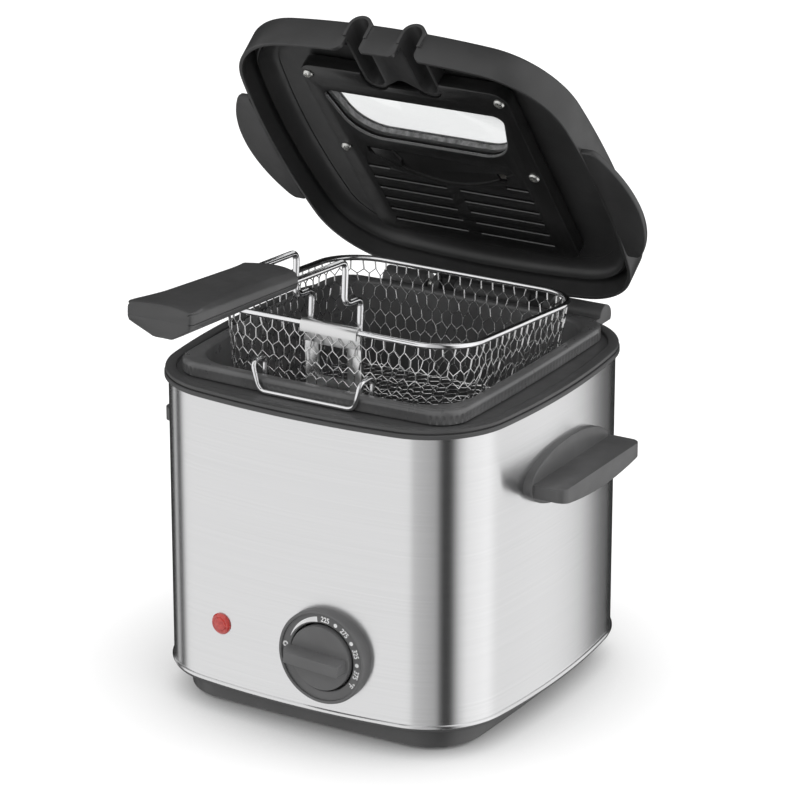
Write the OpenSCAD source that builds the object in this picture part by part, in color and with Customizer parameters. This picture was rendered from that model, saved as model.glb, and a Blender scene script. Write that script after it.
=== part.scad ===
// Compact electric deep fryer with a bowed steel housing, a hinged lid and a wire basket.
// Origin: on the surface it stands on, under the centre of the housing.
// X runs to the right along the front, Y to the back, Z up.

/* [Housing] */
// Width and depth of the steel housing at the middle of its sides
body_w = 190; // [184:1:204]
// Radius of the bowed sides
side_r = 415; // [380:5:800]
// Radius of the housing's corners
corner_r = 42; // [38:1:48]
// Height of steel that shows between the base and the collar
steel_h = 149; // [146:1:170]
// Thickness of the steel sheet
steel_t = 0.8; // [0.6:0.1:1.2]
// How far the rolled bead at the bottom edge stands out
bead_out = 0.9; // [0.5:0.1:1.5]
// Height of the rolled bead
bead_h = 1.6; // [1:0.1:3]

/* [Base] */
// Height of the rubber feet below the tray
foot_h = 2; // [1:0.5:5]
// Diameter of each foot
foot_d = 16; // [10:1:20]
// Distance of the feet from the middle, in X and Y
foot_pos = 64; // [54:1:66]
// Height of the base tray
base_h = 14; // [12:1:20]
// How far the tray's wall is set in from the housing
base_inset = 13; // [10:1:16]
// Radius of the tray's corners
base_r = 27; // [20:1:32]
// Wall of the tray
base_t = 2.4; // [1.6:0.2:3]

/* [Collar] */
// How far the collar stands out from the steel
collar_out = 2; // [1.2:0.2:3]
// Height of the collar's lip
lip_h = 2.2; // [1.6:0.2:3]
// Height of the groove above the lip
groove_h = 0.7; // [0.4:0.1:1.2]
// Height of the ridge above the groove
ridge_h = 1.7; // [1.4:0.1:3]

/* [Oil pot] */
// Width and depth over the pot's folded rim
pot_rim_w = 161; // [158:1:164]
// Radius of the rim's corners
pot_rim_r = 15; // [10:1:20]
// Width and depth of the opening
pot_w = 148; // [147:1:149]
// Radius of the pot's upright corners
pot_r = 24; // [20:1:28]
// Height of the rim above the collar's flat
pot_rim_h = 7.6; // [7:0.2:9]
// Depth of the pot from its rim to its floor
pot_depth = 101.5; // [98:0.5:103]
// Thickness of the pot's wall
pot_t = 1.5; // [1:0.1:2]

/* [Heating] */
// Diameter of the tubular element
element_d = 7; // [6:0.5:8]
// Radius of the element's loop
element_loop_r = 46; // [36:1:50]
// Air gap between the pot's wall and the heat shield
shield_air = 8.5; // [7.5:0.5:9.5]
// Sheet thickness of the heat shield
shield_t = 0.8; // [0.6:0.1:1]
// Gap between the pot's floor and the shield's floor
shield_gap = 10.2; // [10:0.2:12]
// Distance of the standoffs from the middle, in X and Y
standoff_pos = 50; // [46:1:54]
// Diameter of the standoffs
standoff_d = 8; // [7:0.5:10]

/* [Dial] */
// Distance of the dial from the middle of the front
dial_x = 18; // [10:1:24]
// Height of the dial's centre above the steel's lower edge
dial_up = 31; // [29:1:31]
// Diameter of the dial ring
dial_d = 48; // [46:1:56]
// Diameter of the knob's disc
knob_d = 34; // [32:1:36]
// How far the dial ring stands out from the front
dial_out = 4.8; // [4.6:0.2:7]
// Length of the pointer bar beyond the knob's centre
pointer_reach = 20.5; // [19:0.5:20.5]
// Width of the pointer bar
bar_w = 8; // [6:0.5:11]
// Diameter of the thermostat's shaft
shaft_d = 6; // [5:0.5:7]

/* [Lamp] */
// Distance of the lamp from the middle of the front
lamp_x = -43; // [-50:1:-38]
// Height of the lamp's centre above the steel's lower edge
lamp_up = 33; // [28:1:40]
// Diameter of the lens
lens_d = 11; // [9:0.5:13]

/* [Side handles] */
// Length of the shelf that the fingers lift
grip_len = 80; // [60:1:82]
// How far the shelf stands out from the steel
grip_reach = 19.5; // [16:0.5:26]
// Thickness of the shelf at its ends
grip_t = 6.5; // [6:0.5:9]
// Height of the shelf's top above the steel's lower edge
grip_up = 114; // [100:1:118]
// Length of the oval plate behind the shelf
plate_len = 80; // [78:1:92]
// Height of the oval plate
plate_h = 30; // [28:1:36]

/* [Lid] */
// Width and depth of the lid at the middle of its sides
lid_w = 190; // [188:1:192]
// Height of the lid's skirt
skirt_h = 17; // [16:0.5:18]
// Wall of the lid
lid_t = 2.2; // [1.8:0.1:2.6]
// Rise of the dome above the skirt
dome_h = 2.5; // [2:0.5:6]
// How far the lid stands open at rest, in degrees
open_angle = 52; // [40:1:60]
// How far the side ears stand out beyond the skirt
ear_out = 17; // [10:1:20]
// Length of the ears along the sides
ear_len = 84; // [70:1:92]
// Width of the window at its front edge
window_w = 106; // [96:1:108]
// Depth of the window from front to back
window_d = 41.5; // [36:0.5:42.5]
// Number of vent slots in each column of the liner
vent_rows = 5; // [3:1:5]
// Width of a vent slot
vent_slot = 2; // [1.5:0.25:3]
// Diameter of the hinge pin
pin_d = 4; // [3:0.5:5]

/* [Basket] */
// Width of the basket at its rim
basket_w = 139; // [130:1:140]
// Depth of the basket at its rim, front to back
basket_d = 128; // [122:1:128]
// Height of the basket
basket_h = 53; // [46:1:54]
// How much narrower the basket is at its floor, on each side
basket_taper = 5; // [3:0.5:8]
// Radius of the basket's corners
basket_r = 24; // [18:1:30]
// Diameter of the rim wire
rim_wire_d = 3; // [2.4:0.2:3.2]
// Thickness of the netting
net_t = 1.4; // [1:0.1:2]
// Distance between the openings of the netting
net_pitch = 13; // [12.5:0.5:16]
// Width of the netting left between two openings
net_bar = 2.6; // [2:0.2:3.4]
// Height of the basket's rim above the pot's rim while it drains
drain_up = 18.7; // [17:0.1:22]
// Lean of the draining basket, in degrees
drain_lean = 4.3; // [0:0.1:5]
// Diameter of the two handle wires
handle_wire_d = 3.2; // [2.8:0.2:3.6]
// Half the distance between the handle wires
handle_wire_x = 13.6; // [12.6:0.2:14]
// Length of the grip
handle_len = 99; // [90:1:120]
// Width of the grip
handle_w = 35; // [34:1:40]
// Thickness of the grip
handle_t = 16; // [14:1:20]

/* [Drain hook] */
// Diameter of the hook's wire
hook_d = 2.4; // [2:0.1:2.6]
// Half the distance between the hook's arches
hook_x = 30; // [26:1:34]
// Height of the arches above the pot's rim
hook_up = 7.5; // [7:0.5:8]

/* [Hidden] */
$fn = 48;

// Clearances: a fixed fit, a running fit, and a loose one
fit = 0.2;
run = 0.4;

plastic = "#4a4a4b";
dark_plastic = "#262627";
steel = "#c9cbcd";
chrome = "#dfe2e6";
coating = "#3a3a3a";

// Heights
tray_z = foot_h;
steel_z = tray_z + base_h;
steel_top = steel_z + steel_h;
tuck = 1.6;
groove_z = steel_top + lip_h;
ridge_z = groove_z + groove_h;
ridge_top = ridge_z + ridge_h;
flat_z = ridge_top - 1.2;
pot_top = flat_z + pot_rim_h;
pot_floor = pot_top - pot_depth;
shield_z = pot_floor - pot_t - shield_gap;
shield_top = steel_top - 7;

// Half widths of the square outlines
body_half = body_w/2;
inner_half = body_half - steel_t;
tray_half = body_half - base_inset;
lip_half = body_half + collar_out;
ridge_half = lip_half - 0.5;
ridge_in = ridge_half - 5.5;
pot_rim_half = pot_rim_w/2;
pot_half = pot_w/2;
shield_half = pot_half + pot_t + shield_air;
shield_r = pot_r + pot_t + shield_air;
locator_t = 2.2;
flat_side_r = 1500;

// Front panel
dial_z = steel_z + dial_up;
lamp_z = steel_z + lamp_up;
dial_face = body_half + dial_out;
knob_face = dial_face + 1;
scale_ring_w = 2.2;
bar_low = 5.5;
bar_high = 8.5;
thermo_w = 27;
thermo_d = 20;
shaft_back = inner_half - 6;

// Lid, drawn closed and then swung open about the hinge pin
lid_half = lid_w/2;
lid_z = ridge_top + run;
skirt_top = lid_z + skirt_h;
lid_top = skirt_top + dome_h;
hinge_y = lip_half + 5;
hinge_z = ridge_top - 1;
barrel_r = pin_d/2 + 4.2;
knuckle_x = 26;
knuckle_w = 8;
lug_w = 4.6;
liner_z = pot_top + 0.6;
liner_t = 2;
liner_h = 7;
liner_w = 116;
liner_r = 8;
liner_wall = 1.6;
liner_boss_d = 5;
liner_front = -67;
liner_back = 67;
window_front = -51;
window_rear_w = window_w - 14;
pane_z = liner_z + 8;
pane_t = 2.4;
pane_edge = 2.5;
vent_pitch = 9;
vent_y = 19.2;
vent_half = liner_w/2 - 12;
vent_rib = 3.5;
short_vent = 13;
tunnel_x = handle_wire_x + 1.2;
tunnel_w = 2*(handle_wire_d/2 + 3.3);
tunnel_z = skirt_top - 3;
lid_screw_x = liner_w/2 - 4.6;
lid_screw_y = [liner_front + 6.5, liner_front + 65];
lid_screw_head = 5.6;
lid_screw_head_h = 1.8;

// Basket, drawn level about the middle of its rim and then leaned
basket_y = 4.5;
basket_z = pot_top + drain_up;
rim_r = rim_wire_d/2;
front_y = -basket_d/2;
net_edge = 3;
net_rows = 4;
net_slant = net_pitch/2*tan(30);
net_row = (basket_h - rim_r - 3*net_edge + net_bar - net_slant + 0.5)/net_rows;
net_hole_h = net_row + net_slant - net_bar/cos(30);
pot_wall_y = -pot_half;
hook_r = hook_d/2;
hook_in_y = pot_wall_y + sag(hook_x, flat_side_r) + hook_r + fit;
wire_r = handle_wire_d/2;
plate_t = 1;
wire_step_z = 16;
wire_top_z = 37.2;
wire_slope = -0.5;
grip_gap = 11.4;
wire_out_y = (hook_in_y + hook_r + 0.5 + wire_r - basket_y - wire_step_z*sin(drain_lean))
    /cos(drain_lean);
grip_start = -lid_half - grip_gap - basket_y - wire_top_z*sin(drain_lean);
net_lean = atan(basket_taper/basket_h);
plate_y = front_y + rim_r + 0.1;
plate_lean = net_lean - drain_lean;
wire_in_y = plate_y + (plate_t + wire_r + fit)/cos(net_lean);
band_h = 9;
band_w = 2*(handle_wire_x + wire_r + 0.5);
plate_drop = 33;
plate_slot = 16;
seat = 0.3;

// The plate's two tongues reach out through the netting to the hook's inner bar
tongue_mid = plate_t/2 - plate_drop;
tongue_end = (hook_in_y + hook_r + seat - basket_y - plate_y*cos(drain_lean)
    + tongue_mid*sin(plate_lean))/cos(plate_lean);
hook_bar_z = basket_z - plate_y*sin(drain_lean) + tongue_end*sin(plate_lean)
    + tongue_mid*cos(plate_lean);

// Screws and sheet joints
flange_t = 1.4;
boss_d = 13;
boss_top = steel_z - 3;
screw_d = 4;
screw_head_d = 7;
screw_head_h = 2.6;
foot_stem_d = 5;
small_screw_d = 3;
small_head_d = 5.6;
small_head_h = 2.2;
shield_screw_l = 10;
shield_screw_head_h = 2;
collar_screw_l = 6;
collar_screw_x = body_half - 7;
collar_screw_y = 24;
hanger_half = body_half - 4.6;
handle_y = 5;
handle_screw_dy = 24;
handle_screw_z = steel_z + grip_up - 4;

// ---- outlines ----

function arc(cx, cy, r, a0, a1, n) =
    [for (i = [0:n]) let (a = a0 + (a1 - a0)*i/n) [cx + r*cos(a), cy + r*sin(a)]];

function turned(p, a) = [p[0]*cos(a) - p[1]*sin(a), p[0]*sin(a) + p[1]*cos(a)];

// Square with bowed sides that run smoothly into its corners
function bowed(half, sr, cr, n_side = 6, n_corner = 6) = let (
    t = acos((sr - half)/(sqrt(2)*(sr - cr))) - 45,
    k = (sr - cr)*sin(t),
    side = arc(half - sr, 0, sr, -t, t, n_side),
    corner = arc(k, k, cr, t, 90 - t, n_corner))
    [for (q = [0:3]) each concat(
        [for (i = [0:n_side - 1]) turned(side[i], 90*q)],
        [for (i = [0:n_corner - 1]) turned(corner[i], 90*q)])];

function body_outline(inset) = bowed(body_half - inset, side_r - inset, corner_r - inset);
function lid_outline(inset) = bowed(lid_half - inset, side_r - inset, corner_r - inset);
function square_outline(half, r) = bowed(half, flat_side_r, r);

function round_rect(w, d, r, n = 6) = concat(
    arc(w/2 - r, r - d/2, r, -90, 0, n), arc(w/2 - r, d/2 - r, r, 0, 90, n),
    arc(r - w/2, d/2 - r, r, 90, 180, n), arc(r - w/2, r - d/2, r, 180, 270, n));

function ellipse(w, h, n = 48) = [for (i = [0:n - 1]) [w/2*cos(360*i/n), h/2*sin(360*i/n)]];

// How far a bowed side falls back at a distance from its middle
function sag(d, r = side_r) = r - sqrt(r*r - d*d);

// Window: small corners at the front, wide ones at the back, grown by o on all sides
function window_outline(o) = let (
    fr = 8, rr = 22,
    fx = window_w/2 - fr, fy = window_front + fr,
    rx = window_rear_w/2 - rr + 4, ry = window_front + window_d - rr,
    l = norm([fx - rx, ry - fy]),
    a = atan2(ry - fy, rx - fx) - 90 + asin((fr - rr)/l))
    concat(arc(fx, fy, fr + o, -90, a, 6), arc(rx, ry, rr + o, a, 90, 6),
        arc(-rx, ry, rr + o, 90, 180 - a, 6), arc(-fx, fy, fr + o, 180 - a, 270, 6));

// ---- swept and lofted solids ----

function unit(v) = v/norm(v);
function lifted(outline, z, s = 1) = [for (p = outline) [p[0]*s, p[1]*s, z]];

// A corner at p between a and b, rounded over the length r
function bend(a, p, b, r, n) = let (from = p + r*unit(a - p), to = p + r*unit(b - p))
    [for (j = [0:n]) let (t = j/n) (1 - t)*(1 - t)*from + 2*t*(1 - t)*p + t*t*to];

// An open path whose inner corners are rounded
function softened(p, r, n = 4) = [for (i = [0:len(p) - 1])
    each (i == 0 || i == len(p) - 1) ? [p[i]] : bend(p[i - 1], p[i], p[i + 1], r, n)];

// A loop whose corners are all rounded
function softened_loop(p, r, n = 4) = let (m = len(p))
    [for (i = [0:m - 1]) each bend(p[(i + m - 1)%m], p[i], p[(i + 1)%m], r, n)];

function tube_ring(p, t, r, ref, sides) = let (u = unit(cross(t, ref)), v = cross(t, u))
    [for (j = [0:sides - 1]) p + r*(cos(360*j/sides)*u + sin(360*j/sides)*v)];

function strip(a, b, s) = [for (j = [0:s - 1]) let (k = (j + 1)%s)
    each [[a*s + j, b*s + j, b*s + k], [a*s + j, b*s + k, a*s + k]]];

// Joins rings of equal length into a solid
module skin(rings, closed = false) {
    n = len(rings);
    s = len(rings[0]);
    sides = [for (i = [0:n - 2]) each strip(i, i + 1, s)];
    ends = closed ? strip(n - 1, 0, s) :
        [[for (j = [0:s - 1]) j], [for (j = [s - 1:-1:0]) (n - 1)*s + j]];
    polyhedron([for (r = rings) each r], concat(sides, ends), convexity = 6);
}

module tube(path, d, ref, sides = 10) {
    n = len(path);
    skin([for (i = [0:n - 1]) let (
        before = unit(path[max(i, 1)] - path[max(i, 1) - 1]),
        after = unit(path[min(i, n - 2) + 1] - path[min(i, n - 2)]))
        tube_ring(path[i], unit(before + after), d/2, ref, sides)]);
}

module loop_tube(path, d, ref, sides = 8) {
    n = len(path);
    skin([for (i = [0:n - 1])
        tube_ring(path[i], unit(path[(i + 1)%n] - path[(i + n - 1)%n]), d/2, ref, sides)], true);
}

module slab(outline, z0, z1) {
    translate([0, 0, z0]) linear_extrude(z1 - z0) polygon(outline);
}

module frame(outer, inner, z0, z1) {
    translate([0, 0, z0]) linear_extrude(z1 - z0) difference() {
        polygon(outer);
        polygon(inner);
    }
}

module block(x0, x1, y0, y1, z0, z1) {
    translate([x0, y0, z0]) cube([x1 - x0, y1 - y0, z1 - z0]);
}

// Cylinder along -Y from y0 to y1
module rod_y(x, z, y0, y1, d) {
    translate([x, y0, z]) rotate([y1 < y0 ? 90 : -90, 0, 0]) cylinder(d = d, h = abs(y1 - y0));
}

module rod_x(y, z, x0, x1, d) {
    translate([x0, y, z]) rotate([0, 90, 0]) cylinder(d = d, h = x1 - x0);
}

module post(x, y, z0, z1, d) {
    translate([x, y, z0]) cylinder(d = d, h = z1 - z0);
}

module at_corners(d) {
    for (x = [-d, d], y = [-d, d]) translate([x, y, 0]) children();
}

// Local frame on the front face at a distance x from its middle: origin on the steel, -Y outwards
module on_front(x, z) {
    translate([0, side_r - body_half, z]) rotate([0, 0, asin(x/side_r)]) translate([0, -side_r, 0])
        children();
}

module housing_solid() {
    slab(body_outline(0), tray_z, ridge_top + 20);
}

// ---- base ----

module tray_slab(inset, z0, z1) {
    slab(square_outline(tray_half - inset, base_r - inset), z0, z1);
}

module base_tray() {
    color(plastic) difference() {
        union() {
            difference() {
                union() {
                    tray_slab(0, tray_z, steel_z - flange_t/2);
                    slab(body_outline(-0.4), steel_z - flange_t, steel_z);
                }
                tray_slab(base_t, tray_z + base_t, steel_z + 1);
            }
            frame(body_outline(steel_t + fit), body_outline(steel_t + fit + locator_t),
                steel_z - flange_t/2, steel_z + 5);
            at_corners(standoff_pos) post(0, 0, tray_z, boss_top, boss_d);
        }
        at_corners(standoff_pos) {
            post(0, 0, tray_z - 1, boss_top + 1, screw_d + 2*fit);
            post(0, 0, tray_z - 1, tray_z + screw_head_h + fit, screw_head_d + 2*run);
        }
        at_corners(foot_pos) post(0, 0, tray_z - 1, tray_z + base_t + 1, foot_stem_d + 2*fit);
        for (i = [-3:3])
            block(-30, 30, 8*i - 1.5, 8*i + 1.5, tray_z - 1, tray_z + base_t + 1);
    }
}

module feet() {
    color("#1d1d1e") at_corners(foot_pos) {
        post(0, 0, 0, tray_z, foot_d);
        post(0, 0, tray_z - 0.5, tray_z + base_t, foot_stem_d);
    }
}

// Pan head below z, shank above it
module screw_up(z, length, d, head_d, head_h) {
    post(0, 0, z - head_h, z, head_d);
    post(0, 0, z - 0.5, z + length, d);
}

module base_screws() {
    color(chrome) at_corners(standoff_pos)
        screw_up(tray_z + screw_head_h + fit, base_h + 4, screw_d, screw_head_d, screw_head_h);
}

module standoffs() {
    color(steel) at_corners(standoff_pos) difference() {
        post(0, 0, boss_top, shield_z - shield_t, standoff_d);
        post(0, 0, boss_top - 1, shield_z + 1, screw_d + 2*fit);
    }
}

module shield_screws() {
    color(chrome) at_corners(standoff_pos) {
        post(0, 0, shield_z, shield_z + shield_screw_head_h, screw_head_d);
        post(0, 0, shield_z - shield_screw_l, shield_z + 0.5, screw_d);
    }
}

// ---- housing ----

module handle_holes(d) {
    for (side = [-1, 1], dy = [-handle_screw_dy, handle_screw_dy])
        rod_x(handle_y + dy, handle_screw_z, side*body_half - 12, side*body_half + 12, d);
}

module steel_housing() {
    color(steel) difference() {
        union() {
            frame(body_outline(0), body_outline(steel_t), steel_z, steel_top + tuck);
            frame(body_outline(-bead_out), body_outline(steel_t), steel_z, steel_z + bead_h);
        }
        handle_holes(screw_d + 2*fit);
        rod_y(dial_x, dial_z, -inner_half + 5, -body_half - 5, thermo_bush_d + 2*fit);
        on_front(lamp_x, lamp_z) rod_y(0, 0, 5, -5, lens_stem_d + 2*fit);
        block(-inlet_w/2 - fit, inlet_w/2 + fit, inner_half - 5, body_half + 5,
            inlet_z - inlet_h/2 - fit, inlet_z + inlet_h/2 + fit);
    }
}

// ---- collar ----

module hinge_lugs() {
    for (side = [-1, 1], x = [knuckle_x - knuckle_w/2 - run - lug_w, knuckle_x + knuckle_w/2 + run]) {
        x0 = side > 0 ? x : -x - lug_w;
        block(x0, x0 + lug_w, body_half - 3, hinge_y, steel_top + fit, ridge_top - fit);
        rod_x(hinge_y, hinge_z, x0, x0 + lug_w, 2*barrel_r);
    }
    barrel_x = knuckle_x + knuckle_w/2 + run + lug_w + barrel_gap;
    for (x0 = [-barrel_x - barrel_w, barrel_x]) {
        block(x0, x0 + barrel_w, body_half - 8, hinge_y, steel_top + fit, ridge_top - fit);
        rod_x(hinge_y, hinge_z, x0, x0 + barrel_w, 2*barrel_r);
    }
    spring_hood();
}

barrel_gap = 4;
barrel_w = 25;

// Half a barrel that covers the hinge's spring, from lug to lug
module spring_hood() {
    half = knuckle_x - knuckle_w/2 - run - lug_w + 0.3;
    difference() {
        rod_x(hinge_y, hinge_z, -half, half, 2*barrel_r);
        rod_x(hinge_y, hinge_z, -half + 0.3, half - 0.3, 2*(pin_d/2 + 2.4));
        block(-half + 0.3, half - 0.3, hinge_y - 10, hinge_y + 10, hinge_z - 10, hinge_z - 1);
    }
}

module collar() {
    color(plastic) difference() {
        union() {
            slab(body_outline(-collar_out), steel_top, groove_z);
            slab(body_outline(-0.6), groove_z, ridge_z);
            slab(body_outline(0.5 - collar_out), ridge_z, ridge_top);
            slab(body_outline(steel_t + fit), steel_top - 7, steel_top + 0.5);
            hinge_lugs();
        }
        // Flat inside the ridge, around the upstand that carries the pot
        difference() {
            slab(body_outline(body_half - ridge_in), flat_z, ridge_top + 1);
            slab(square_outline(pot_half + pot_t + 3, pot_r + 4), flat_z - 1, ridge_top + 2);
        }
        // Hollow below, inside the locating skirt
        difference() {
            slab(body_outline(steel_t + fit + locator_t), steel_top - 8, steel_top);
            for (x = [-collar_screw_x, collar_screw_x], y = [-collar_screw_y, collar_screw_y])
                post(x, y, shield_top, steel_top + 1, 7);
        }
        frame(body_outline(-fit/2), body_outline(steel_t + fit/2), steel_top - 0.1, steel_top + tuck);
        slab(square_outline(pot_half + pot_t + 0.5, pot_r + 1.5), steel_top - 9, ridge_top + 9);
        for (x = [-collar_screw_x, collar_screw_x], y = [-collar_screw_y, collar_screw_y])
            post(x, y, steel_top - 8, steel_top - 1, small_screw_d + 0.2);
        rod_x(hinge_y, hinge_z, -knuckle_x - 14, knuckle_x + 14, pin_d + 2*fit);
        for (side = [-1, 1]) rod_x(hinge_y, hinge_z, side*knuckle_x - knuckle_w/2 - run,
            side*knuckle_x + knuckle_w/2 + run, 2*(barrel_r + run));
    }
    color(plastic) frame(square_outline(pot_half + pot_t + 3, pot_r + 4),
        square_outline(pot_half + pot_t + 0.5, pot_r + 1.5), ridge_top, pot_top - pot_t);
}

module collar_screws() {
    color(chrome) for (x = [-collar_screw_x, collar_screw_x], y = [-collar_screw_y, collar_screw_y])
        translate([x, y, 0])
            screw_up(shield_top - shield_t, collar_screw_l, small_screw_d, small_head_d, small_head_h);
}

// ---- pot and heating ----

module oil_pot() {
    color(coating) {
        frame(square_outline(pot_rim_half, pot_rim_r), square_outline(pot_half, pot_r),
            pot_top - pot_t, pot_top);
        frame(square_outline(pot_rim_half, pot_rim_r),
            square_outline(pot_rim_half - 1.2, pot_rim_r - 1.2), flat_z + run, pot_top);
        frame(square_outline(pot_half + pot_t, pot_r + pot_t), square_outline(pot_half, pot_r),
            pot_floor - pot_t, pot_top);
        slab(square_outline(pot_half + pot_t, pot_r + pot_t), pot_floor - pot_t, pot_floor);
    }
}

element_z = pot_floor - pot_t - element_d/2 - fit;
terminal_angle = 22;
terminal_x = element_loop_r*sin(terminal_angle);
terminal_y = -element_loop_r*cos(terminal_angle);
ferrule_d = element_d + 1.6;
pin_low = shield_z - 12;

module heating_element() {
    color("#8c7f72") {
        translate([0, 0, element_z]) rotate([0, 0, terminal_angle - 90])
            rotate_extrude(angle = 360 - 2*terminal_angle) translate([element_loop_r, 0])
                circle(d = element_d);
        for (side = [-1, 1]) {
            post(side*terminal_x, terminal_y, shield_z + 1.5, pot_floor - pot_t - 0.1, ferrule_d);
            post(side*terminal_x, terminal_y, pin_low, shield_z + 2, 4);
        }
    }
}

module element_clamp() {
    low = element_z - element_d/2 - fit - 1.6;
    color(steel) {
        block(-element_loop_r - 8, element_loop_r + 8, -7, 7, low, low + 1.6);
        block(-7, 7, 8 - element_loop_r, element_loop_r + 8, low, low + 1.6);
        post(0, 0, low, pot_floor - pot_t, 10);
        post(0, 0, shield_z, low + 0.5, 5);
    }
}

cutout_x = -26;
cutout_y = 24;
capillary_x = 30;
capillary_y = -26;

module heat_shield() {
    shield_inside = square_outline(shield_half - shield_t, shield_r - shield_t);
    color("#a9abad") difference() {
        union() {
            frame(square_outline(shield_half, shield_r), shield_inside, shield_z - shield_t, shield_top);
            slab(square_outline(shield_half, shield_r), shield_z - shield_t, shield_z);
            frame(body_outline(body_half - hanger_half), shield_inside, shield_top - shield_t, shield_top);
        }
        at_corners(standoff_pos) post(0, 0, shield_z - 2, shield_z + 1, screw_d + 2*fit);
        for (x = [-collar_screw_x, collar_screw_x], y = [-collar_screw_y, collar_screw_y])
            post(x, y, shield_top - 2, shield_top + 1, small_screw_d + 2*fit);
        for (side = [-1, 1])
            post(side*terminal_x, terminal_y, shield_z - 2, shield_z + 1, ferrule_d + 1);
        post(capillary_x, capillary_y, shield_z - 2, shield_z + 1, 5);
    }
}

thermo_bush_d = 10;
blade_x = 8;
thermo_front = inner_half - 1.8;
thermo_back = thermo_front - thermo_d;

module thermostat() {
    color("#d8d2c4") difference() {
        union() {
            block(dial_x - thermo_w/2, dial_x + thermo_w/2, -thermo_front, -thermo_back,
                dial_z - thermo_w/2, dial_z + thermo_w/2);
            rod_y(dial_x, dial_z, -thermo_front + 1, -body_half - 1.5, thermo_bush_d);
            for (dx = [-blade_x, blade_x])
                block(dial_x + dx - 0.4, dial_x + dx + 0.4, -thermo_back - 1, -thermo_back + 7,
                    dial_z - 9, dial_z - 3);
        }
        rod_y(dial_x, dial_z, -shaft_back + 1, -body_half - 5, shaft_d + 2*fit);
    }
}

module thermostat_shaft() {
    color(steel) rod_y(dial_x, dial_z, -shaft_back, -knob_face + 2, shaft_d);
}

bulb_d = 5;
bulb_y = capillary_y;
bulb_z = pot_floor - pot_t - bulb_d/2 - fit;

module sensor_bulb() {
    color("#b87333") {
        rod_x(bulb_y, bulb_z, -16, 20, bulb_d);
        tube(softened([[19, bulb_y, bulb_z], [capillary_x, capillary_y, bulb_z],
            [capillary_x, capillary_y, dial_z + 6], [dial_x, -thermo_back + 12, dial_z + 4],
            [dial_x, -thermo_back, dial_z + 4]], 5), 1.6, [0.3, 0.2, 0.9], 8);
    }
}

tab_x = 4;
cutout_low = shield_z - shield_t - 7;

module thermal_cutout() {
    color("#e6e0d2") post(cutout_x, cutout_y, cutout_low, shield_z - shield_t, 16);
    color(steel) for (dx = [-tab_x, tab_x])
        block(cutout_x + dx - 0.4, cutout_x + dx + 0.4, cutout_y - 3, cutout_y + 3,
            cutout_low - 7, cutout_low + 0.5);
}

block_y = 44;
block_h = 14;
block_pitch = 13;
block_floor = tray_z + base_t;

module terminal_block() {
    color("#e9e7e0") difference() {
        block(-block_pitch - 8, block_pitch + 8, block_y - 9, block_y + 9,
            block_floor, block_floor + block_h);
        for (dx = [-block_pitch, 0, block_pitch])
            post(dx, block_y, block_floor + 5, block_floor + block_h + 1, 5);
    }
}

inlet_w = 36;
inlet_h = 22;
inlet_z = steel_z + 30;
inlet_depth = 20;
inlet_wall = 2.5;
inlet_floor = body_half - 10;
inlet_pin_x = 8;
inlet_pin_d = 3.2;

module cord_inlet() {
    color(dark_plastic) difference() {
        union() {
            difference() {
                block(-inlet_w/2 - 5, inlet_w/2 + 5, body_half - 4, body_half + 2.2,
                    inlet_z - inlet_h/2 - 5, inlet_z + inlet_h/2 + 5);
                housing_solid();
            }
            block(-inlet_w/2, inlet_w/2, body_half - inlet_depth, body_half + 1,
                inlet_z - inlet_h/2, inlet_z + inlet_h/2);
        }
        block(-inlet_w/2 + inlet_wall, inlet_w/2 - inlet_wall, inlet_floor, body_half + 5,
            inlet_z - inlet_h/2 + inlet_wall, inlet_z + inlet_h/2 - inlet_wall);
        for (side = [-1, 1])
            rod_y(side*inlet_pin_x, inlet_z, body_half - inlet_depth - 1, body_half, inlet_pin_d + 0.2);
    }
}

module inlet_pins() {
    color("#c9a24a") for (side = [-1, 1])
        rod_y(side*inlet_pin_x, inlet_z, body_half - inlet_depth - 5, body_half - 2, inlet_pin_d);
}

wire_d = 2.6;
live = "#7a4a2a";
neutral = "#2f5f9a";

module wire(points) {
    tube(softened(points, 5), wire_d, [0.35, 0.25, 0.9], 8);
}

// Mains wires: inlet to block, block to thermostat, thermostat and cut-out to the element
module wiring() {
    block_top = block_floor + block_h - 2;
    pin_y = body_half - inlet_depth - 5;
    blade_z = dial_z - 9 - wire_d/2;
    blade_y = -thermo_back + 4;
    cut_z = cutout_low - 7.1 - wire_d/2;
    on_block = block_floor + block_h + wire_d/2 + 0.1;
    for (side = [-1, 1]) color(side > 0 ? live : neutral) wire([
        [side*inlet_pin_x, pin_y - wire_d/2, inlet_z - 1], [side*inlet_pin_x, pin_y - 4, inlet_z - 12],
        [side*block_pitch, block_y, block_top + 9], [side*block_pitch, block_y, block_floor + 6]]);
    color(live) wire([[block_pitch, block_y - 6, on_block], [block_pitch, block_y - 15, on_block],
        [block_pitch + 3, block_y - 25, block_floor + 8], [block_pitch + 3, -30, block_floor + 8],
        [dial_x + blade_x, blade_y, dial_z - 20], [dial_x + blade_x, blade_y, blade_z]]);
    color(live) wire([[dial_x - blade_x, blade_y, blade_z], [dial_x - blade_x, blade_y + 4, dial_z - 19],
        [terminal_x, terminal_y, pin_low - 12], [terminal_x, terminal_y, pin_low - 0.1]]);
    color(neutral) wire([[-terminal_x, terminal_y, pin_low - 0.1], [-terminal_x, terminal_y, pin_low - 14],
        [cutout_x - tab_x, cutout_y - 14, pin_low - 16], [cutout_x - tab_x, cutout_y, cut_z]]);
    color(neutral) wire([[cutout_x + tab_x, cutout_y, cut_z],
        [cutout_x + 6, block_y - 16, block_floor + 22], [-block_pitch, block_y - 6, on_block]]);
}

// ---- dial and lamp ----

scale_face = dial_face - 1.2;
recess_floor = body_half + 1.8;

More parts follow.
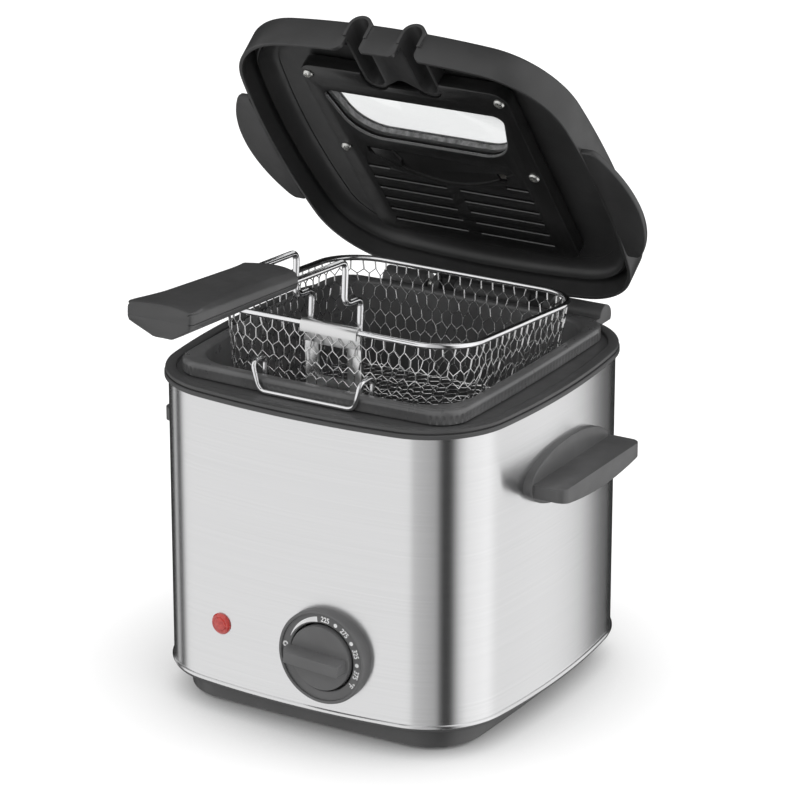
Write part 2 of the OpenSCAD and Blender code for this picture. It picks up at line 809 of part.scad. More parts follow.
module dial_ring() {
    color(plastic) difference() {
        rod_y(dial_x, dial_z, -body_half + 6, -dial_face, dial_d);
        rod_y(dial_x, dial_z, -scale_face, -dial_face - 1, dial_d - 2*scale_ring_w);
        rod_y(dial_x, dial_z, -recess_floor, -dial_face - 1, knob_d + 1);
        rod_y(dial_x, dial_z, -body_half + 7, -dial_face, thermo_bush_d + 2*fit);
        housing_solid();
    }
}

module knob() {
    knob_back = recess_floor + run;
    color(plastic) difference() {
        union() {
            rod_y(dial_x, dial_z, -knob_back, -knob_face, knob_d);
            translate([dial_x, 0, dial_z - bar_w/2]) linear_extrude(bar_w) polygon([
                [-pointer_reach, -scale_face - run], [-pointer_reach + 1.5, -knob_face - bar_low],
                [knob_d/2 - 5, -knob_face - bar_high], [knob_d/2 - 2, -scale_face - run]]);
        }
        rod_y(dial_x, dial_z, -knob_back + 1, -knob_face + 2, shaft_d + 0.1);
    }
}

lens_stem_d = lens_d - 2.5;

module indicator_lens() {
    color("#c0392f") on_front(lamp_x, lamp_z) {
        rod_y(0, 0, 0, -1.2, lens_d);
        rod_y(0, 0, -1, -2.2, lens_d - 2);
        rod_y(0, 0, 4, -0.5, lens_stem_d);
    }
}

module indicator_lamp() {
    color("#d9d4c8") on_front(lamp_x, lamp_z) {
        rod_y(0, 0, 22, 4, lens_stem_d);
        for (dx = [-2, 2]) rod_y(dx, 0, 28, 21.5, 1);
    }
}

// ---- side handles ----

module handle_shape() {
    top = steel_z + grip_up;
    difference() {
        union() {
            translate([body_half - 6, handle_y - 2, top - 2]) rotate([90, 0, 90])
                linear_extrude(9.3) polygon(ellipse(plate_len, plate_h));
            intersection() {
                slab([[body_half - 6, handle_y - grip_len/2],
                    [body_half + grip_reach - 5, handle_y - grip_len/2],
                    [body_half + grip_reach, handle_y - grip_len/2 + 5],
                    [body_half + grip_reach, handle_y + grip_len/2 - 5],
                    [body_half + grip_reach - 5, handle_y + grip_len/2],
                    [body_half - 6, handle_y + grip_len/2]],
                    top - 30, top);
                translate([body_half - 8, 0, 0]) rotate([90, 0, 90]) linear_extrude(grip_reach + 10)
                    polygon(concat(
                        [[handle_y + grip_len/2 + 1, top + 1], [handle_y - grip_len/2 - 1, top + 1]],
                        [for (i = [0:12]) let (u = i/6 - 1)
                            [handle_y + u*(grip_len/2 + 1), top - grip_t - 4*(1 - u*u)]]));
            }
        }
        housing_solid();
        handle_holes(screw_d + 0.1);
    }
}

module left_handle() {
    color(plastic) mirror([1, 0, 0]) handle_shape();
}

module right_handle() {
    color(plastic) handle_shape();
}

module handle_screws() {
    color(chrome) for (side = [-1, 1], dy = [-handle_screw_dy, handle_screw_dy]) {
        head_y = abs(handle_y + dy) + screw_head_d/2;
        seat = inner_half - sag(head_y) - 0.1;
        mirror([side < 0 ? 1 : 0, 0, 0]) {
            rod_x(handle_y + dy, handle_screw_z, seat - screw_head_h, seat, screw_head_d);
            rod_x(handle_y + dy, handle_screw_z, seat - 0.5, body_half + 9, screw_d);
        }
    }
}

// ---- hinge ----

module hinge_pin() {
    color(chrome) {
        rod_x(hinge_y, hinge_z, -knuckle_x - 11, knuckle_x + 11, pin_d);
        for (x = [-knuckle_x - 12.2, knuckle_x + 10.2]) rod_x(hinge_y, hinge_z, x, x + 2, pin_d + 2.4);
    }
}

spring_d = 1.2;

module hinge_spring() {
    r = pin_d/2 + spring_d/2 + 0.3;
    turns = 6;
    reach = 13;
    leg_y = lip_half + spring_d/2 + 0.1;
    leg_z = steel_top - 0.5;
    color(steel) tube(concat(
        [[-reach, leg_y, leg_z]],
        [for (i = [0:turns*14]) let (a = 180 + 360*i/14)
            [-reach + 2*reach*i/(turns*14), hinge_y + r*cos(a), hinge_z + r*sin(a)]],
        [[reach, leg_y, leg_z]]), spring_d, [1, 0.02, 0.02], 6);
}

// ---- drain hook ----

module drain_hook() {
    out_y = -pot_rim_half - hook_r - fit;
    top = pot_top + hook_up;
    side = [[-hook_x + 3.5, out_y, flat_z + hook_r + fit], [-hook_x, out_y, top],
        [-hook_x, hook_in_y + 2, top], [-hook_x, hook_in_y, hook_bar_z]];
    other = [for (i = [3:-1:0]) [-side[i][0], side[i][1], side[i][2]]];
    color(chrome) loop_tube(softened_loop(concat(side, other), 4, 4), hook_d, [0.62, 0.35, 0.3]);
}

// ---- lid, drawn closed ----

module lid_pose() {
    translate([0, hinge_y, hinge_z]) rotate([-open_angle, 0, 0]) translate([0, -hinge_y, -hinge_z])
        children();
}

// Height of the dome's outer face over the outline scaled by s
function dome_z(s) = skirt_top + dome_h*(1 - pow(s, 2.2));

// A little below the dome's outer face at a point in plan
function dome_at(x, y) = dome_z(max(abs(x), abs(y), norm([x, y])/1.2)/lid_half + 0.03);

dome_steps = [0.97, 0.9, 0.8, 0.65, 0.45, 0.2];

module dome_shell() {
    out = lid_outline(0);
    inn = lid_outline(lid_t);
    skin(concat(
        [for (i = [len(dome_steps) - 1:-1:0]) lifted(inn, dome_z(dome_steps[i]) - lid_t, dome_steps[i])],
        [lifted(inn, skirt_top - lid_t - 1), lifted(inn, lid_z), lifted(out, lid_z),
            lifted(out, skirt_top - 2), lifted(out, skirt_top - 0.4, 0.992)],
        [for (s = dome_steps) lifted(out, dome_z(s), s)]));
}

ear_step = 5;
ear_rise = ear_out - ear_step;
ear_r = (ear_len*ear_len/4 + ear_rise*ear_rise)/(2*ear_rise);
ear_y = 2.5;
ear_t = 3.2;

module ears() {
    for (side = [-1, 1]) intersection() {
        post(side*(lid_half + ear_out - ear_r), ear_y, lid_z, lid_z + ear_t, 2*ear_r);
        block(side > 0 ? lid_half - lid_t - 0.5 : -lid_half - 40,
            side > 0 ? lid_half + 40 : lid_t + 0.5 - lid_half,
            ear_y - ear_len/2, ear_y + ear_len/2, lid_z - 1, lid_z + 10);
    }
}

// Tunnel for one handle wire: open below, round above
module tunnel(w, y0, y1, z0) {
    for (side = [-1, 1]) {
        block(side*tunnel_x - w/2, side*tunnel_x + w/2, y0, y1, z0, tunnel_z);
        rod_y(side*tunnel_x, tunnel_z, y0, y1, w);
    }
}

module knuckles() {
    for (side = [-1, 1]) {
        x0 = side*knuckle_x - knuckle_w/2;
        block(x0, x0 + knuckle_w, body_half - 2, hinge_y, lid_z, hinge_z + barrel_r);
        rod_x(hinge_y, hinge_z, x0, x0 + knuckle_w, 2*barrel_r);
    }
}

tunnel_wall = 1.6;
tunnel_back = -58;
rib_inset = 5.4;
outlet_half = 26;
outlet_y = 20;
outlet_pitch = 7;
outlet_slot = 2.4;
lid_screw_l = 8.5;
frame_z = liner_z + liner_t + 1.4;
ledge_t = 1.6;
gasket_lip = 1.2;
filter_t = 4;

module lid_shell() {
    color(dark_plastic) lid_pose() difference() {
        union() {
            dome_shell();
            ears();
            tunnel(tunnel_w + 2*tunnel_wall, -lid_half - 0.6, tunnel_back, pot_top + 1.6);
            knuckles();
            frame(lid_outline(rib_inset), lid_outline(rib_inset + 1.6), pot_top + 3, skirt_top - 0.8);
            frame(window_outline(2), window_outline(-pane_edge), frame_z, skirt_top + 0.5);
            for (x = [-lid_screw_x, lid_screw_x], y = lid_screw_y)
                post(x, y, liner_z + liner_t, dome_at(x, y) - lid_t/2, liner_boss_d);
        }
        tunnel(tunnel_w, -lid_half - 3, tunnel_back - tunnel_wall, lid_z - 2);
        slab(window_outline(0), frame_z + ledge_t, lid_top + 5);
        slab(window_outline(-pane_edge), lid_z, lid_top + 5);
        for (x = [-lid_screw_x, lid_screw_x], y = lid_screw_y)
            post(x, y, liner_z, liner_z + lid_screw_l, small_screw_d + 0.2);
        rod_x(hinge_y, hinge_z, -60, 60, pin_d + 2*fit);
        for (i = [0:4]) block(-outlet_half, outlet_half, outlet_y + outlet_pitch*i,
            outlet_y + outlet_pitch*i + outlet_slot, skirt_top - 3, lid_top + 5);
    }
}

module lid_liner() {
    notch_x = tunnel_x + tunnel_w/2 + tunnel_wall + 2.5;
    depth = liner_back - liner_front;
    color("#1f1f20") lid_pose() difference() {
        translate([0, (liner_front + liner_back)/2, 0]) {
            slab(round_rect(liner_w, depth, liner_r), liner_z, liner_z + liner_t);
            frame(round_rect(liner_w, depth, liner_r), round_rect(liner_w - 2*liner_wall,
                depth - 2*liner_wall, liner_r - liner_wall), liner_z, liner_z + liner_h);
        }
        block(-notch_x, notch_x, liner_front - 5, tunnel_back + 0.8, liner_z - 1, liner_z + 10);
        slab(window_outline(-pane_edge), liner_z - 1, liner_z + 30);
        for (x = [-lid_screw_x, lid_screw_x], y = lid_screw_y)
            post(x, y, liner_z - 1, liner_z + 3, small_screw_d + 2*fit);
        for (side = [-1, 1], row = [0:vent_rows - 1]) {
            y = vent_y + row*vent_pitch;
            block(side > 0 ? vent_rib : -vent_half, side > 0 ? vent_half : -vent_rib, y, y + vent_slot,
                liner_z - 1, liner_z + 3);
        }
        for (side = [-1, 1])
            block(min(side*vent_half, side*(vent_half - short_vent)),
                max(side*vent_half, side*(vent_half - short_vent)),
                vent_y - vent_pitch, vent_y - vent_pitch + vent_slot, liner_z - 1, liner_z + 3);
    }
}

module lid_window() {
    color("#dfe8ec", 0.5) lid_pose() slab(window_outline(-gasket_lip - 0.1), pane_z, pane_z + pane_t);
}

module window_gasket() {
    color("#9a9a98") lid_pose() difference() {
        frame(window_outline(-fit), window_outline(-pane_edge), frame_z + ledge_t + 0.1,
            pane_z + pane_t + gasket_lip);
        slab(window_outline(-gasket_lip), pane_z - 0.1, pane_z + pane_t + 0.1);
    }
}

module lid_filter() {
    color("#b9b6ad") lid_pose() block(-vent_half - 2, vent_half + 2, vent_y - vent_pitch - 1.3,
        liner_back - liner_wall - 2*fit, liner_z + liner_t + 0.1, liner_z + liner_t + filter_t);
}

module lid_screws() {
    color(chrome) lid_pose() for (x = [-lid_screw_x, lid_screw_x], y = lid_screw_y)
        translate([x, y, 0])
            screw_up(liner_z - 0.1, lid_screw_l, small_screw_d, lid_screw_head, lid_screw_head_h);
}

// ---- basket, drawn level about the middle of its rim ----

module basket_pose() {
    translate([0, basket_y, basket_z]) rotate([-drain_lean, 0, 0]) children();
}

module basket_rim() {
    color(chrome) basket_pose()
        loop_tube(lifted(round_rect(basket_w, basket_d, basket_r), 0), rim_wire_d, [0, 0, 1]);
}

module basket_net() {
    lean = basket_taper;
    function net(o, z) = let (k = -z/basket_h*lean)
        lifted(round_rect(basket_w - 2*k + 2*o, basket_d - 2*k + 2*o, basket_r - k*0.6 + o), z);
    color(chrome) basket_pose() difference() {
        skin([net(net_t/2 - net_edge, -basket_h), net(net_t/2, net_edge - basket_h),
            net(net_t/2, -rim_r - 0.1), net(-net_t/2, -rim_r - 0.1),
            net(-net_t/2, net_edge - basket_h), net(-net_t/2 - net_edge, net_t - basket_h)]);
        along_net() plate_tongues(fit);
        for (row = [0:net_rows - 1]) translate([0, 0, -rim_r - net_edge - net_hole_h/2 - row*net_row])
            wall_openings(row%2);
        floor_openings();
    }
}

// Six-sided opening of the netting, drawn through along Y
module net_opening(w, h, depth) {
    shoulder = h/2 - w/2*tan(30);
    rotate([90, 0, 0]) linear_extrude(depth, center = true) polygon([[-w/2, -shoulder], [0, -h/2],
        [w/2, -shoulder], [w/2, shoulder], [0, h/2], [-w/2, shoulder]]);
}

// One row round the basket; every other row is moved half an opening on
module wall_openings(moved) {
    for (wall = [[basket_w, basket_d, 0], [basket_d, basket_w, 90]]) {
        run = wall[0] - 2*basket_r;
        count = round(run/net_pitch);
        rotate([0, 0, wall[2]]) for (i = [0:count - 1 + moved])
            translate([(i - (count - 1 + moved)/2)*run/count, 0, 0])
                net_opening(run/count - net_bar, net_hole_h, wall[1] + 10);
    }
    corner_hole = (basket_r - 0.6*basket_taper)*PI/6 - net_bar;
    for (sx = [-1, 1], sy = [-1, 1], angle = moved == 1 ? [30, 60] : [15, 45, 75])
        scale([sx, sy, 1]) translate([basket_w/2 - basket_r, basket_d/2 - basket_r, 0])
            rotate([0, 0, angle - 90]) translate([0, basket_r - 2, 0])
                net_opening(corner_hole, net_hole_h, 18);
}

// Openings of the floor, as far as they clear its rounded edge
module floor_openings() {
    row = net_pitch*cos(30);
    hole = net_pitch - net_bar;
    inset = basket_taper + net_edge;
    corner = basket_r - 0.6*basket_taper - net_edge;
    reach = corner - net_edge - hole/2/cos(30);
    for (j = [-6:6], i = [-7:7]) {
        x = (i + abs(j)%2/2)*net_pitch;
        y = j*row;
        off = norm([max(abs(x) - basket_w/2 + inset + corner, 0),
            max(abs(y) - basket_d/2 + inset + corner, 0)]);
        if (off < reach) translate([x, y, -basket_h]) rotate([90, 0, 0])
            net_opening(hole, hole/cos(30), 2*net_t + 6);
    }
}

// Carries what leans with the netting's front wall: origin on the plate's outer face at the rim
module along_net() {
    translate([0, plate_y, 0]) rotate([net_lean, 0, 0]) children();
}

module plate_tongues(o) {
    for (side = [-1, 1]) {
        middle = side*(plate_slot + band_w)/4;
        half = (band_w - plate_slot)/4 + o;
        block(middle - half, middle + half, tongue_end, plate_t, -plate_drop - o,
            plate_t - plate_drop + o);
    }
}

module bracket_plate() {
    color(chrome) basket_pose() {
        difference() {
            block(-band_w/2, band_w/2, front_y - rim_r - plate_t - 0.1, plate_y + plate_t, -band_h,
                rim_r + plate_t);
            block(-band_w, band_w, front_y - rim_r - 0.1, plate_y, -band_h - 1, rim_r + 0.1);
        }
        along_net() {
            difference() {
                block(-band_w/2, band_w/2, 0, plate_t, -plate_drop, 0);
                block(-plate_slot/2, plate_slot/2, -1, plate_t + 1, 5 - plate_drop, -band_h - 3);
            }
            plate_tongues(0);
        }
    }
}

wire_in_grip = 24;
wire_low = (plate_drop - plate_t)*cos(net_lean) - 0.6;

function slope_z(y) = wire_top_z + (wire_out_y - y)*tan(wire_slope);

module handle_wires() {
    color(chrome) basket_pose() for (x = [-handle_wire_x, handle_wire_x])
        tube(softened([[x, grip_start - wire_in_grip, slope_z(grip_start - wire_in_grip)],
            [x, wire_out_y, wire_top_z], [x, wire_out_y, wire_step_z], [x, wire_in_y, wire_step_z],
            [x, wire_in_y, 0], [x, wire_in_y + wire_low*tan(net_lean), -wire_low]], 5),
            handle_wire_d, [1, 0, 0]);
}

// Frame of the grip: -Y along it, its parting plane at z = 0
module grip_pose() {
    basket_pose() translate([0, grip_start, slope_z(grip_start)]) rotate([-wire_slope, 0, 0]) children();
}

// Half width and heights of the grip at the share u of its length
function grip_half_w(u) = handle_w/2*(0.94 + 0.06*u*u);
function grip_top(u) = handle_t*(0.29 + 0.1*u);
function grip_low(u) = -handle_t*(0.52 + 0.08*u);

// Share of the length, how far the section is drawn in in plan, and in height
grip_stations = [[0, 9, 1.6], [0.03, 4.6, 0.6], [0.07, 1.8, 0.2], [0.13, 0, 0], [0.4, 0, 0],
    [0.7, 0, 0], [0.98, 0, 0], [1, 1, 0.6]];

module grip_half(top) {
    skin([for (station = grip_stations) let (
        u = station[0],
        w = grip_half_w(u) - station[1],
        h = top ? grip_top(u) - station[2] : grip_low(u) + station[2],
        keel = min(5, w - 2))
        [for (p = top ?
            [[-w, 0], [-w, h - 1.4], [1.4 - w, h], [w - 1.4, h], [w, h - 1.4], [w, 0]] :
            [[w, 0], [w - 0.6, h*0.28], [keel, h], [-keel, h], [0.6 - w, h*0.28], [-w, 0]])
            [p[0], -handle_len*u, p[1]]]]);
}

module wire_channels() {
    for (x = [-handle_wire_x, handle_wire_x])
        rod_y(x, 0, 5, -wire_in_grip - 2, handle_wire_d + 2*fit);
}

grip_screw_d = 2.4;
grip_screw_head = 5.2;
grip_screw_seat = -3;
grip_screw_top = handle_t*0.32 - 2;

module screw_wells(d, z0, z1) {
    for (u = [0.3, 0.85]) post(0, -handle_len*u, z0, z1, d);
}

module grip_upper() {
    color(plastic) grip_pose() difference() {
        grip_half(true);
        wire_channels();
        screw_wells(grip_screw_d + fit, -1, grip_screw_top + fit);
    }
}

module grip_lower() {
    color(plastic) grip_pose() difference() {
        grip_half(false);
        wire_channels();
        screw_wells(grip_screw_d + 2*run, -handle_t, 1);
        screw_wells(grip_screw_head + 2*fit, -handle_t, grip_screw_seat);
    }
}

module grip_screws() {
    color(chrome) grip_pose() {
        screw_wells(grip_screw_head, grip_screw_seat - 2, grip_screw_seat - 0.1);
        screw_wells(grip_screw_d, grip_screw_seat - 1, grip_screw_top);
    }
}

base_tray();
feet();
base_screws();
standoffs();
shield_screws();
steel_housing();
collar();
collar_screws();
oil_pot();
heating_element();
element_clamp();
heat_shield();
thermostat();
thermostat_shaft();
sensor_bulb();
thermal_cutout();
terminal_block();
wiring();
cord_inlet();
inlet_pins();
dial_ring();
knob();
indicator_lens();
indicator_lamp();
left_handle();
right_handle();
handle_screws();
hinge_pin();
hinge_spring();
drain_hook();
lid_shell();
lid_liner();
lid_window();
window_gasket();
lid_filter();
lid_screws();
basket_rim();
basket_net();
bracket_plate();
handle_wires();
grip_lower();
grip_upper();
grip_screws();
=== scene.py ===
"""Looks of a compact deep fryer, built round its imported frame.

Lengths are in millimetres and angles in degrees until solid() turns them into Blender's metres.
X runs to the right along the front panel, Y to the back, Z up from the worktop.
"""
import math

import bmesh
import bpy
import numpy as np
from mathutils import Matrix, Vector


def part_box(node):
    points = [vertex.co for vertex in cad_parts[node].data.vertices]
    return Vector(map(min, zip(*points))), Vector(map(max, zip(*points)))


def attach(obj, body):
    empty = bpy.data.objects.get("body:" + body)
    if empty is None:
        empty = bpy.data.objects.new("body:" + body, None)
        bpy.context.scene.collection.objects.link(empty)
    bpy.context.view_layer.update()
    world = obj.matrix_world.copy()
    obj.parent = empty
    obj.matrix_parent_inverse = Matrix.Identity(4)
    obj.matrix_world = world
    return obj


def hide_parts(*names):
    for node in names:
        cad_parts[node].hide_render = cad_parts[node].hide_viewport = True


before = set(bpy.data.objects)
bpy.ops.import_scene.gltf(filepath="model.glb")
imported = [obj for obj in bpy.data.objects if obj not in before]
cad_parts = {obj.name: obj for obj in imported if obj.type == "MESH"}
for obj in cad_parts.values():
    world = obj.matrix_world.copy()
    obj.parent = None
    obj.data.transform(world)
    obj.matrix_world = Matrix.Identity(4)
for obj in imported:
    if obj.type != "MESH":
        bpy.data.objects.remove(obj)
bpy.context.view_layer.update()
MM = 0.001


def low(node):
    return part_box(node)[0] / MM


def high(node):
    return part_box(node)[1] / MM


# ---- sizes, worked out from the frame ----

BEAD_OUT = 0.9
BODY_HALF = high("steel_housing").x - BEAD_OUT
SIDE_R = 415
CORNER_R = 42
FLAT_SIDE_R = 1500
STEEL_LOW = low("steel_housing").z
STEEL_TOP = STEEL_LOW + 149
SHEET = 0.8
TRAY_HALF = BODY_HALF - 13
TRAY_R = 27
TRAY_LOW = low("base_tray").z

LIP_TOP = STEEL_TOP + 2.2
RIDGE_LOW = LIP_TOP + 0.7
RIDGE_TOP = RIDGE_LOW + 1.7
FLAT_Z = RIDGE_TOP - 1.2
POT_TOP = high("oil_pot").z
POT_FLOOR = low("oil_pot").z + 1.5
POT_RIM_HALF = high("oil_pot").x
POT_HALF = 74

DIAL_X = (low("dial_ring").x + high("dial_ring").x) / 2
DIAL_Z = (low("dial_ring").z + high("dial_ring").z) / 2
DIAL_R = high("dial_ring").z - DIAL_Z
DIAL_FACE = low("dial_ring").y
KNOB_R = 17
DISC_R = 16.5
LAMP_X = (low("indicator_lens").x + high("indicator_lens").x) / 2
LAMP_Z = (low("indicator_lens").z + high("indicator_lens").z) / 2

HINGE_Y = BODY_HALF + 7
HINGE_Z = RIDGE_TOP - 1
OPEN_ANGLE = 52
LID_HALF = 95
LID_LOW = RIDGE_TOP + 0.4
SKIRT_TOP = LID_LOW + 17
DOME_H = 2.5
LID_WALL = 2.2
LINER_Z = POT_TOP + 0.6
LINER_T = 2
SEAT_Z = LINER_Z + LINER_T + 3
PANE_Z = LINER_Z + 8
PANE_T = 2.4
PANE_EDGE = 2.5

BASKET_Y = 4.5
BASKET_Z = POT_TOP + 18.7
BASKET_LEAN = 4.3
BASKET_W = 139
BASKET_D = 128
BASKET_H = 53
BASKET_TAPER = 5
BASKET_R = 24
RIM_WIRE_R = 1.5
WIRE_X = 13.6
WIRE_R = 1.6
FRONT_Y = -BASKET_D / 2


# ---- outlines ----

def turned(points, degrees):
    c, s = math.cos(math.radians(degrees)), math.sin(math.radians(degrees))
    return [(x * c - y * s, x * s + y * c) for x, y in points]


def arc(cx, cy, r, a0, a1, n):
    angles = [math.radians(a0 + (a1 - a0) * i / n) for i in range(n + 1)]
    return [(cx + r * math.cos(a), cy + r * math.sin(a)) for a in angles]


def bowed(half, side_r, corner_r, side_n=40, corner_n=20):
    """Square whose bowed sides run smoothly into its corners, anticlockwise."""
    t = math.degrees(math.acos((side_r - half) / (math.sqrt(2) * (side_r - corner_r)))) - 45
    k = (side_r - corner_r) * math.sin(math.radians(t))
    side = arc(half - side_r, 0, side_r, -t, t, side_n)[:-1]
    corner = arc(k, k, corner_r, t, 90 - t, corner_n)[:-1]
    return [p for quarter in range(4) for p in turned(side + corner, 90 * quarter)]


def body_outline(inset):
    return bowed(BODY_HALF - inset, SIDE_R - inset, CORNER_R - inset)


def lid_outline(inset):
    return bowed(LID_HALF - inset, SIDE_R - inset, CORNER_R - inset)


def square_outline(half, r):
    return bowed(half, FLAT_SIDE_R, r)


def round_rect(w, d, r, n=12):
    return (arc(w / 2 - r, r - d / 2, r, -90, 0, n) + arc(w / 2 - r, d / 2 - r, r, 0, 90, n)
            + arc(r - w / 2, d / 2 - r, r, 90, 180, n) + arc(r - w / 2, r - d / 2, r, 180, 270, n))


def circle(r, n=96):
    return arc(0, 0, r, 0, 360, n)[:-1]


def lift(outline, z, scale=1.0):
    return [(x * scale, y * scale, z) for x, y in outline]


# ---- solids ----

def solid(name, points, faces):
    """Object with a mesh of these points, turned from millimetres into metres."""
    mesh = bpy.data.meshes.new(name)
    mesh.from_pydata([tuple(c * MM for c in p) for p in points], [], faces)
    mesh.validate()
    obj = bpy.data.objects.new(name, mesh)
    bpy.context.scene.collection.objects.link(obj)
    return obj


def outward(obj):
    """Makes all faces point outwards."""
    bm = bmesh.new()
    bm.from_mesh(obj.data)
    bmesh.ops.remove_doubles(bm, verts=bm.verts, dist=1e-7)
    bmesh.ops.recalc_face_normals(bm, faces=bm.faces)
    bm.to_mesh(obj.data)
    bm.free()
    return obj


def loft(name, rings, closed=False):
    """Solid through rings of equal length; a closed one runs round like a frame."""
    n, s = len(rings), len(rings[0])
    points = [p for ring in rings for p in ring]
    faces = []
    for i in range(n if closed else n - 1):
        a, b = i * s, (i + 1) % n * s
        faces += [(a + j, a + (j + 1) % s, b + (j + 1) % s, b + j) for j in range(s)]
    if not closed:
        faces += [tuple(range(s))[::-1], tuple((n - 1) * s + j for j in range(s))]
    return outward(solid(name, points, faces))


def prism(name, outline, z0, z1):
    return loft(name, [lift(outline, z0), lift(outline, z1)])


def block(name, x0, x1, y0, y1, z0, z1):
    return prism(name, [(x0, y0), (x1, y0), (x1, y1), (x0, y1)], z0, z1)


def moved(obj, matrix):
    """Moves the mesh; the matrix is in millimetres."""
    m = matrix.copy()
    m.translation *= MM
    obj.data.transform(m)
    return obj


def placed(obj, x=0, y=0, z=0, turn=None, axis="X"):
    m = Matrix.Translation((x, y, z))
    if turn is not None:
        m = m @ Matrix.Rotation(math.radians(turn), 4, axis)
    return moved(obj, m)


def to_front(obj, x, y, z):
    """Stands a shape that was drawn along +Z so that it faces the front at (x, y, z)."""
    return moved(obj, Matrix.Translation((x, y, z)) @ Matrix.Rotation(math.radians(90), 4, "X"))


def lathe(name, profile, n=96):
    """Turned solid about Z from (radius, height) points; a radius of 0 is closed by a fan."""
    rings = [lift(circle(max(r, 0.01), n), z) for r, z in profile]
    return loft(name, rings)


def rounded(points, r, n=6, closed=False):
    """The path with its corners rounded over the length r."""
    p = [Vector(q) for q in points]
    out = []
    for i, corner in enumerate(p):
        if not closed and i in (0, len(p) - 1):
            out.append(corner)
            continue
        before, after = p[i - 1], p[(i + 1) % len(p)]
        a = corner + (before - corner).normalized() * r
        b = corner + (after - corner).normalized() * r
        for j in range(n + 1):
            t = j / n
            out.append((1 - t) ** 2 * a + 2 * t * (1 - t) * corner + t * t * b)
    return out


def tube(name, path, r, sides=16, closed=False, ends=None):
    """Round wire along a path; ends gives the share of the radius at a domed end."""
    p = [Vector(q) for q in path]
    n = len(p)
    tangents = []
    for i in range(n):
        before = p[i - 1] if closed or i > 0 else p[0]
        after = p[(i + 1) % n] if closed or i < n - 1 else p[-1]
        tangents.append((after - before).normalized())
    side = tangents[0].orthogonal().normalized()
    rings = []
    for i, t in enumerate(tangents):
        side = (side - t * side.dot(t)).normalized()
        other = t.cross(side)
        rings.append([p[i] + (side * math.cos(a) + other * math.sin(a)) * r
                      for a in (2 * math.pi * j / sides for j in range(sides))])
    if closed:
        first = Vector(rings[0][0]) - p[0]
        last = side - tangents[0] * side.dot(tangents[0])
        twist = math.atan2(tangents[0].dot(first.cross(last)), first.dot(last))
        steps = len(rings)
        for i in range(steps):
            turn = Matrix.Rotation(-twist * i / steps, 3, tangents[i])
            rings[i] = [p[i] + turn @ (q - p[i]) for q in rings[i]]
    elif ends:
        first, last = rings[0], rings[-1]
        lead = tangents[0] * (r * 0.5)
        tail = tangents[-1] * (r * 0.5)
        rings[0] = [p[0] + (q - p[0]) * ends for q in first]
        rings.insert(1, [q + lead for q in first])
        rings[-1] = [p[-1] + (q - p[-1]) * ends for q in last]
        rings.insert(-1, [q - tail for q in last])
    return loft(name, rings, closed)


def apply_modifiers(obj):
    graph = bpy.context.evaluated_depsgraph_get()
    mesh = bpy.data.meshes.new_from_object(obj.evaluated_get(graph))
    obj.modifiers.clear()
    obj.data = mesh
    return obj


def combine(obj, other, operation):
    modifier = obj.modifiers.new("combine", "BOOLEAN")
    modifier.operation = operation
    modifier.solver = "EXACT"
    modifier.object = other
    apply_modifiers(obj)
    bpy.data.objects.remove(other)
    return obj


def cut(obj, *cutters):
    for cutter in cutters:
        combine(obj, cutter, "DIFFERENCE")
    return obj


def weld(obj, *others):
    for other in others:
        combine(obj, other, "UNION")
    return obj


def joined(name, *objects):
    """One object with the meshes of all of these, which may overlap."""
    bm = bmesh.new()
    for o in objects:
        bm.from_mesh(o.data)
        bpy.data.objects.remove(o)
    mesh = bpy.data.meshes.new(name)
    bm.to_mesh(mesh)
    bm.free()
    obj = bpy.data.objects.new(name, mesh)
    bpy.context.scene.collection.objects.link(obj)
    return obj


def soft_edges(obj, width, segments=3, angle=30):
    modifier = obj.modifiers.new("edges", "BEVEL")
    modifier.width = width * MM
    modifier.segments = segments
    modifier.limit_method = "ANGLE"
    modifier.angle_limit = math.radians(angle)
    modifier.use_clamp_overlap = True
    return apply_modifiers(obj)


def shaded(obj, angle=35):
    obj.data.shade_smooth()
    obj.data.set_sharp_from_angle(angle=math.radians(angle))
    return obj


def piece(obj, body, material, stands_for=(), angle=35):
    """Finishes a piece: shading, material, its body and the nodes it stands for."""
    shaded(obj, angle)
    obj.data.materials.clear()
    obj.data.materials.append(material)
    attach(obj, body)
    if stands_for:
        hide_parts(*stands_for)
    return obj


# ---- materials ----

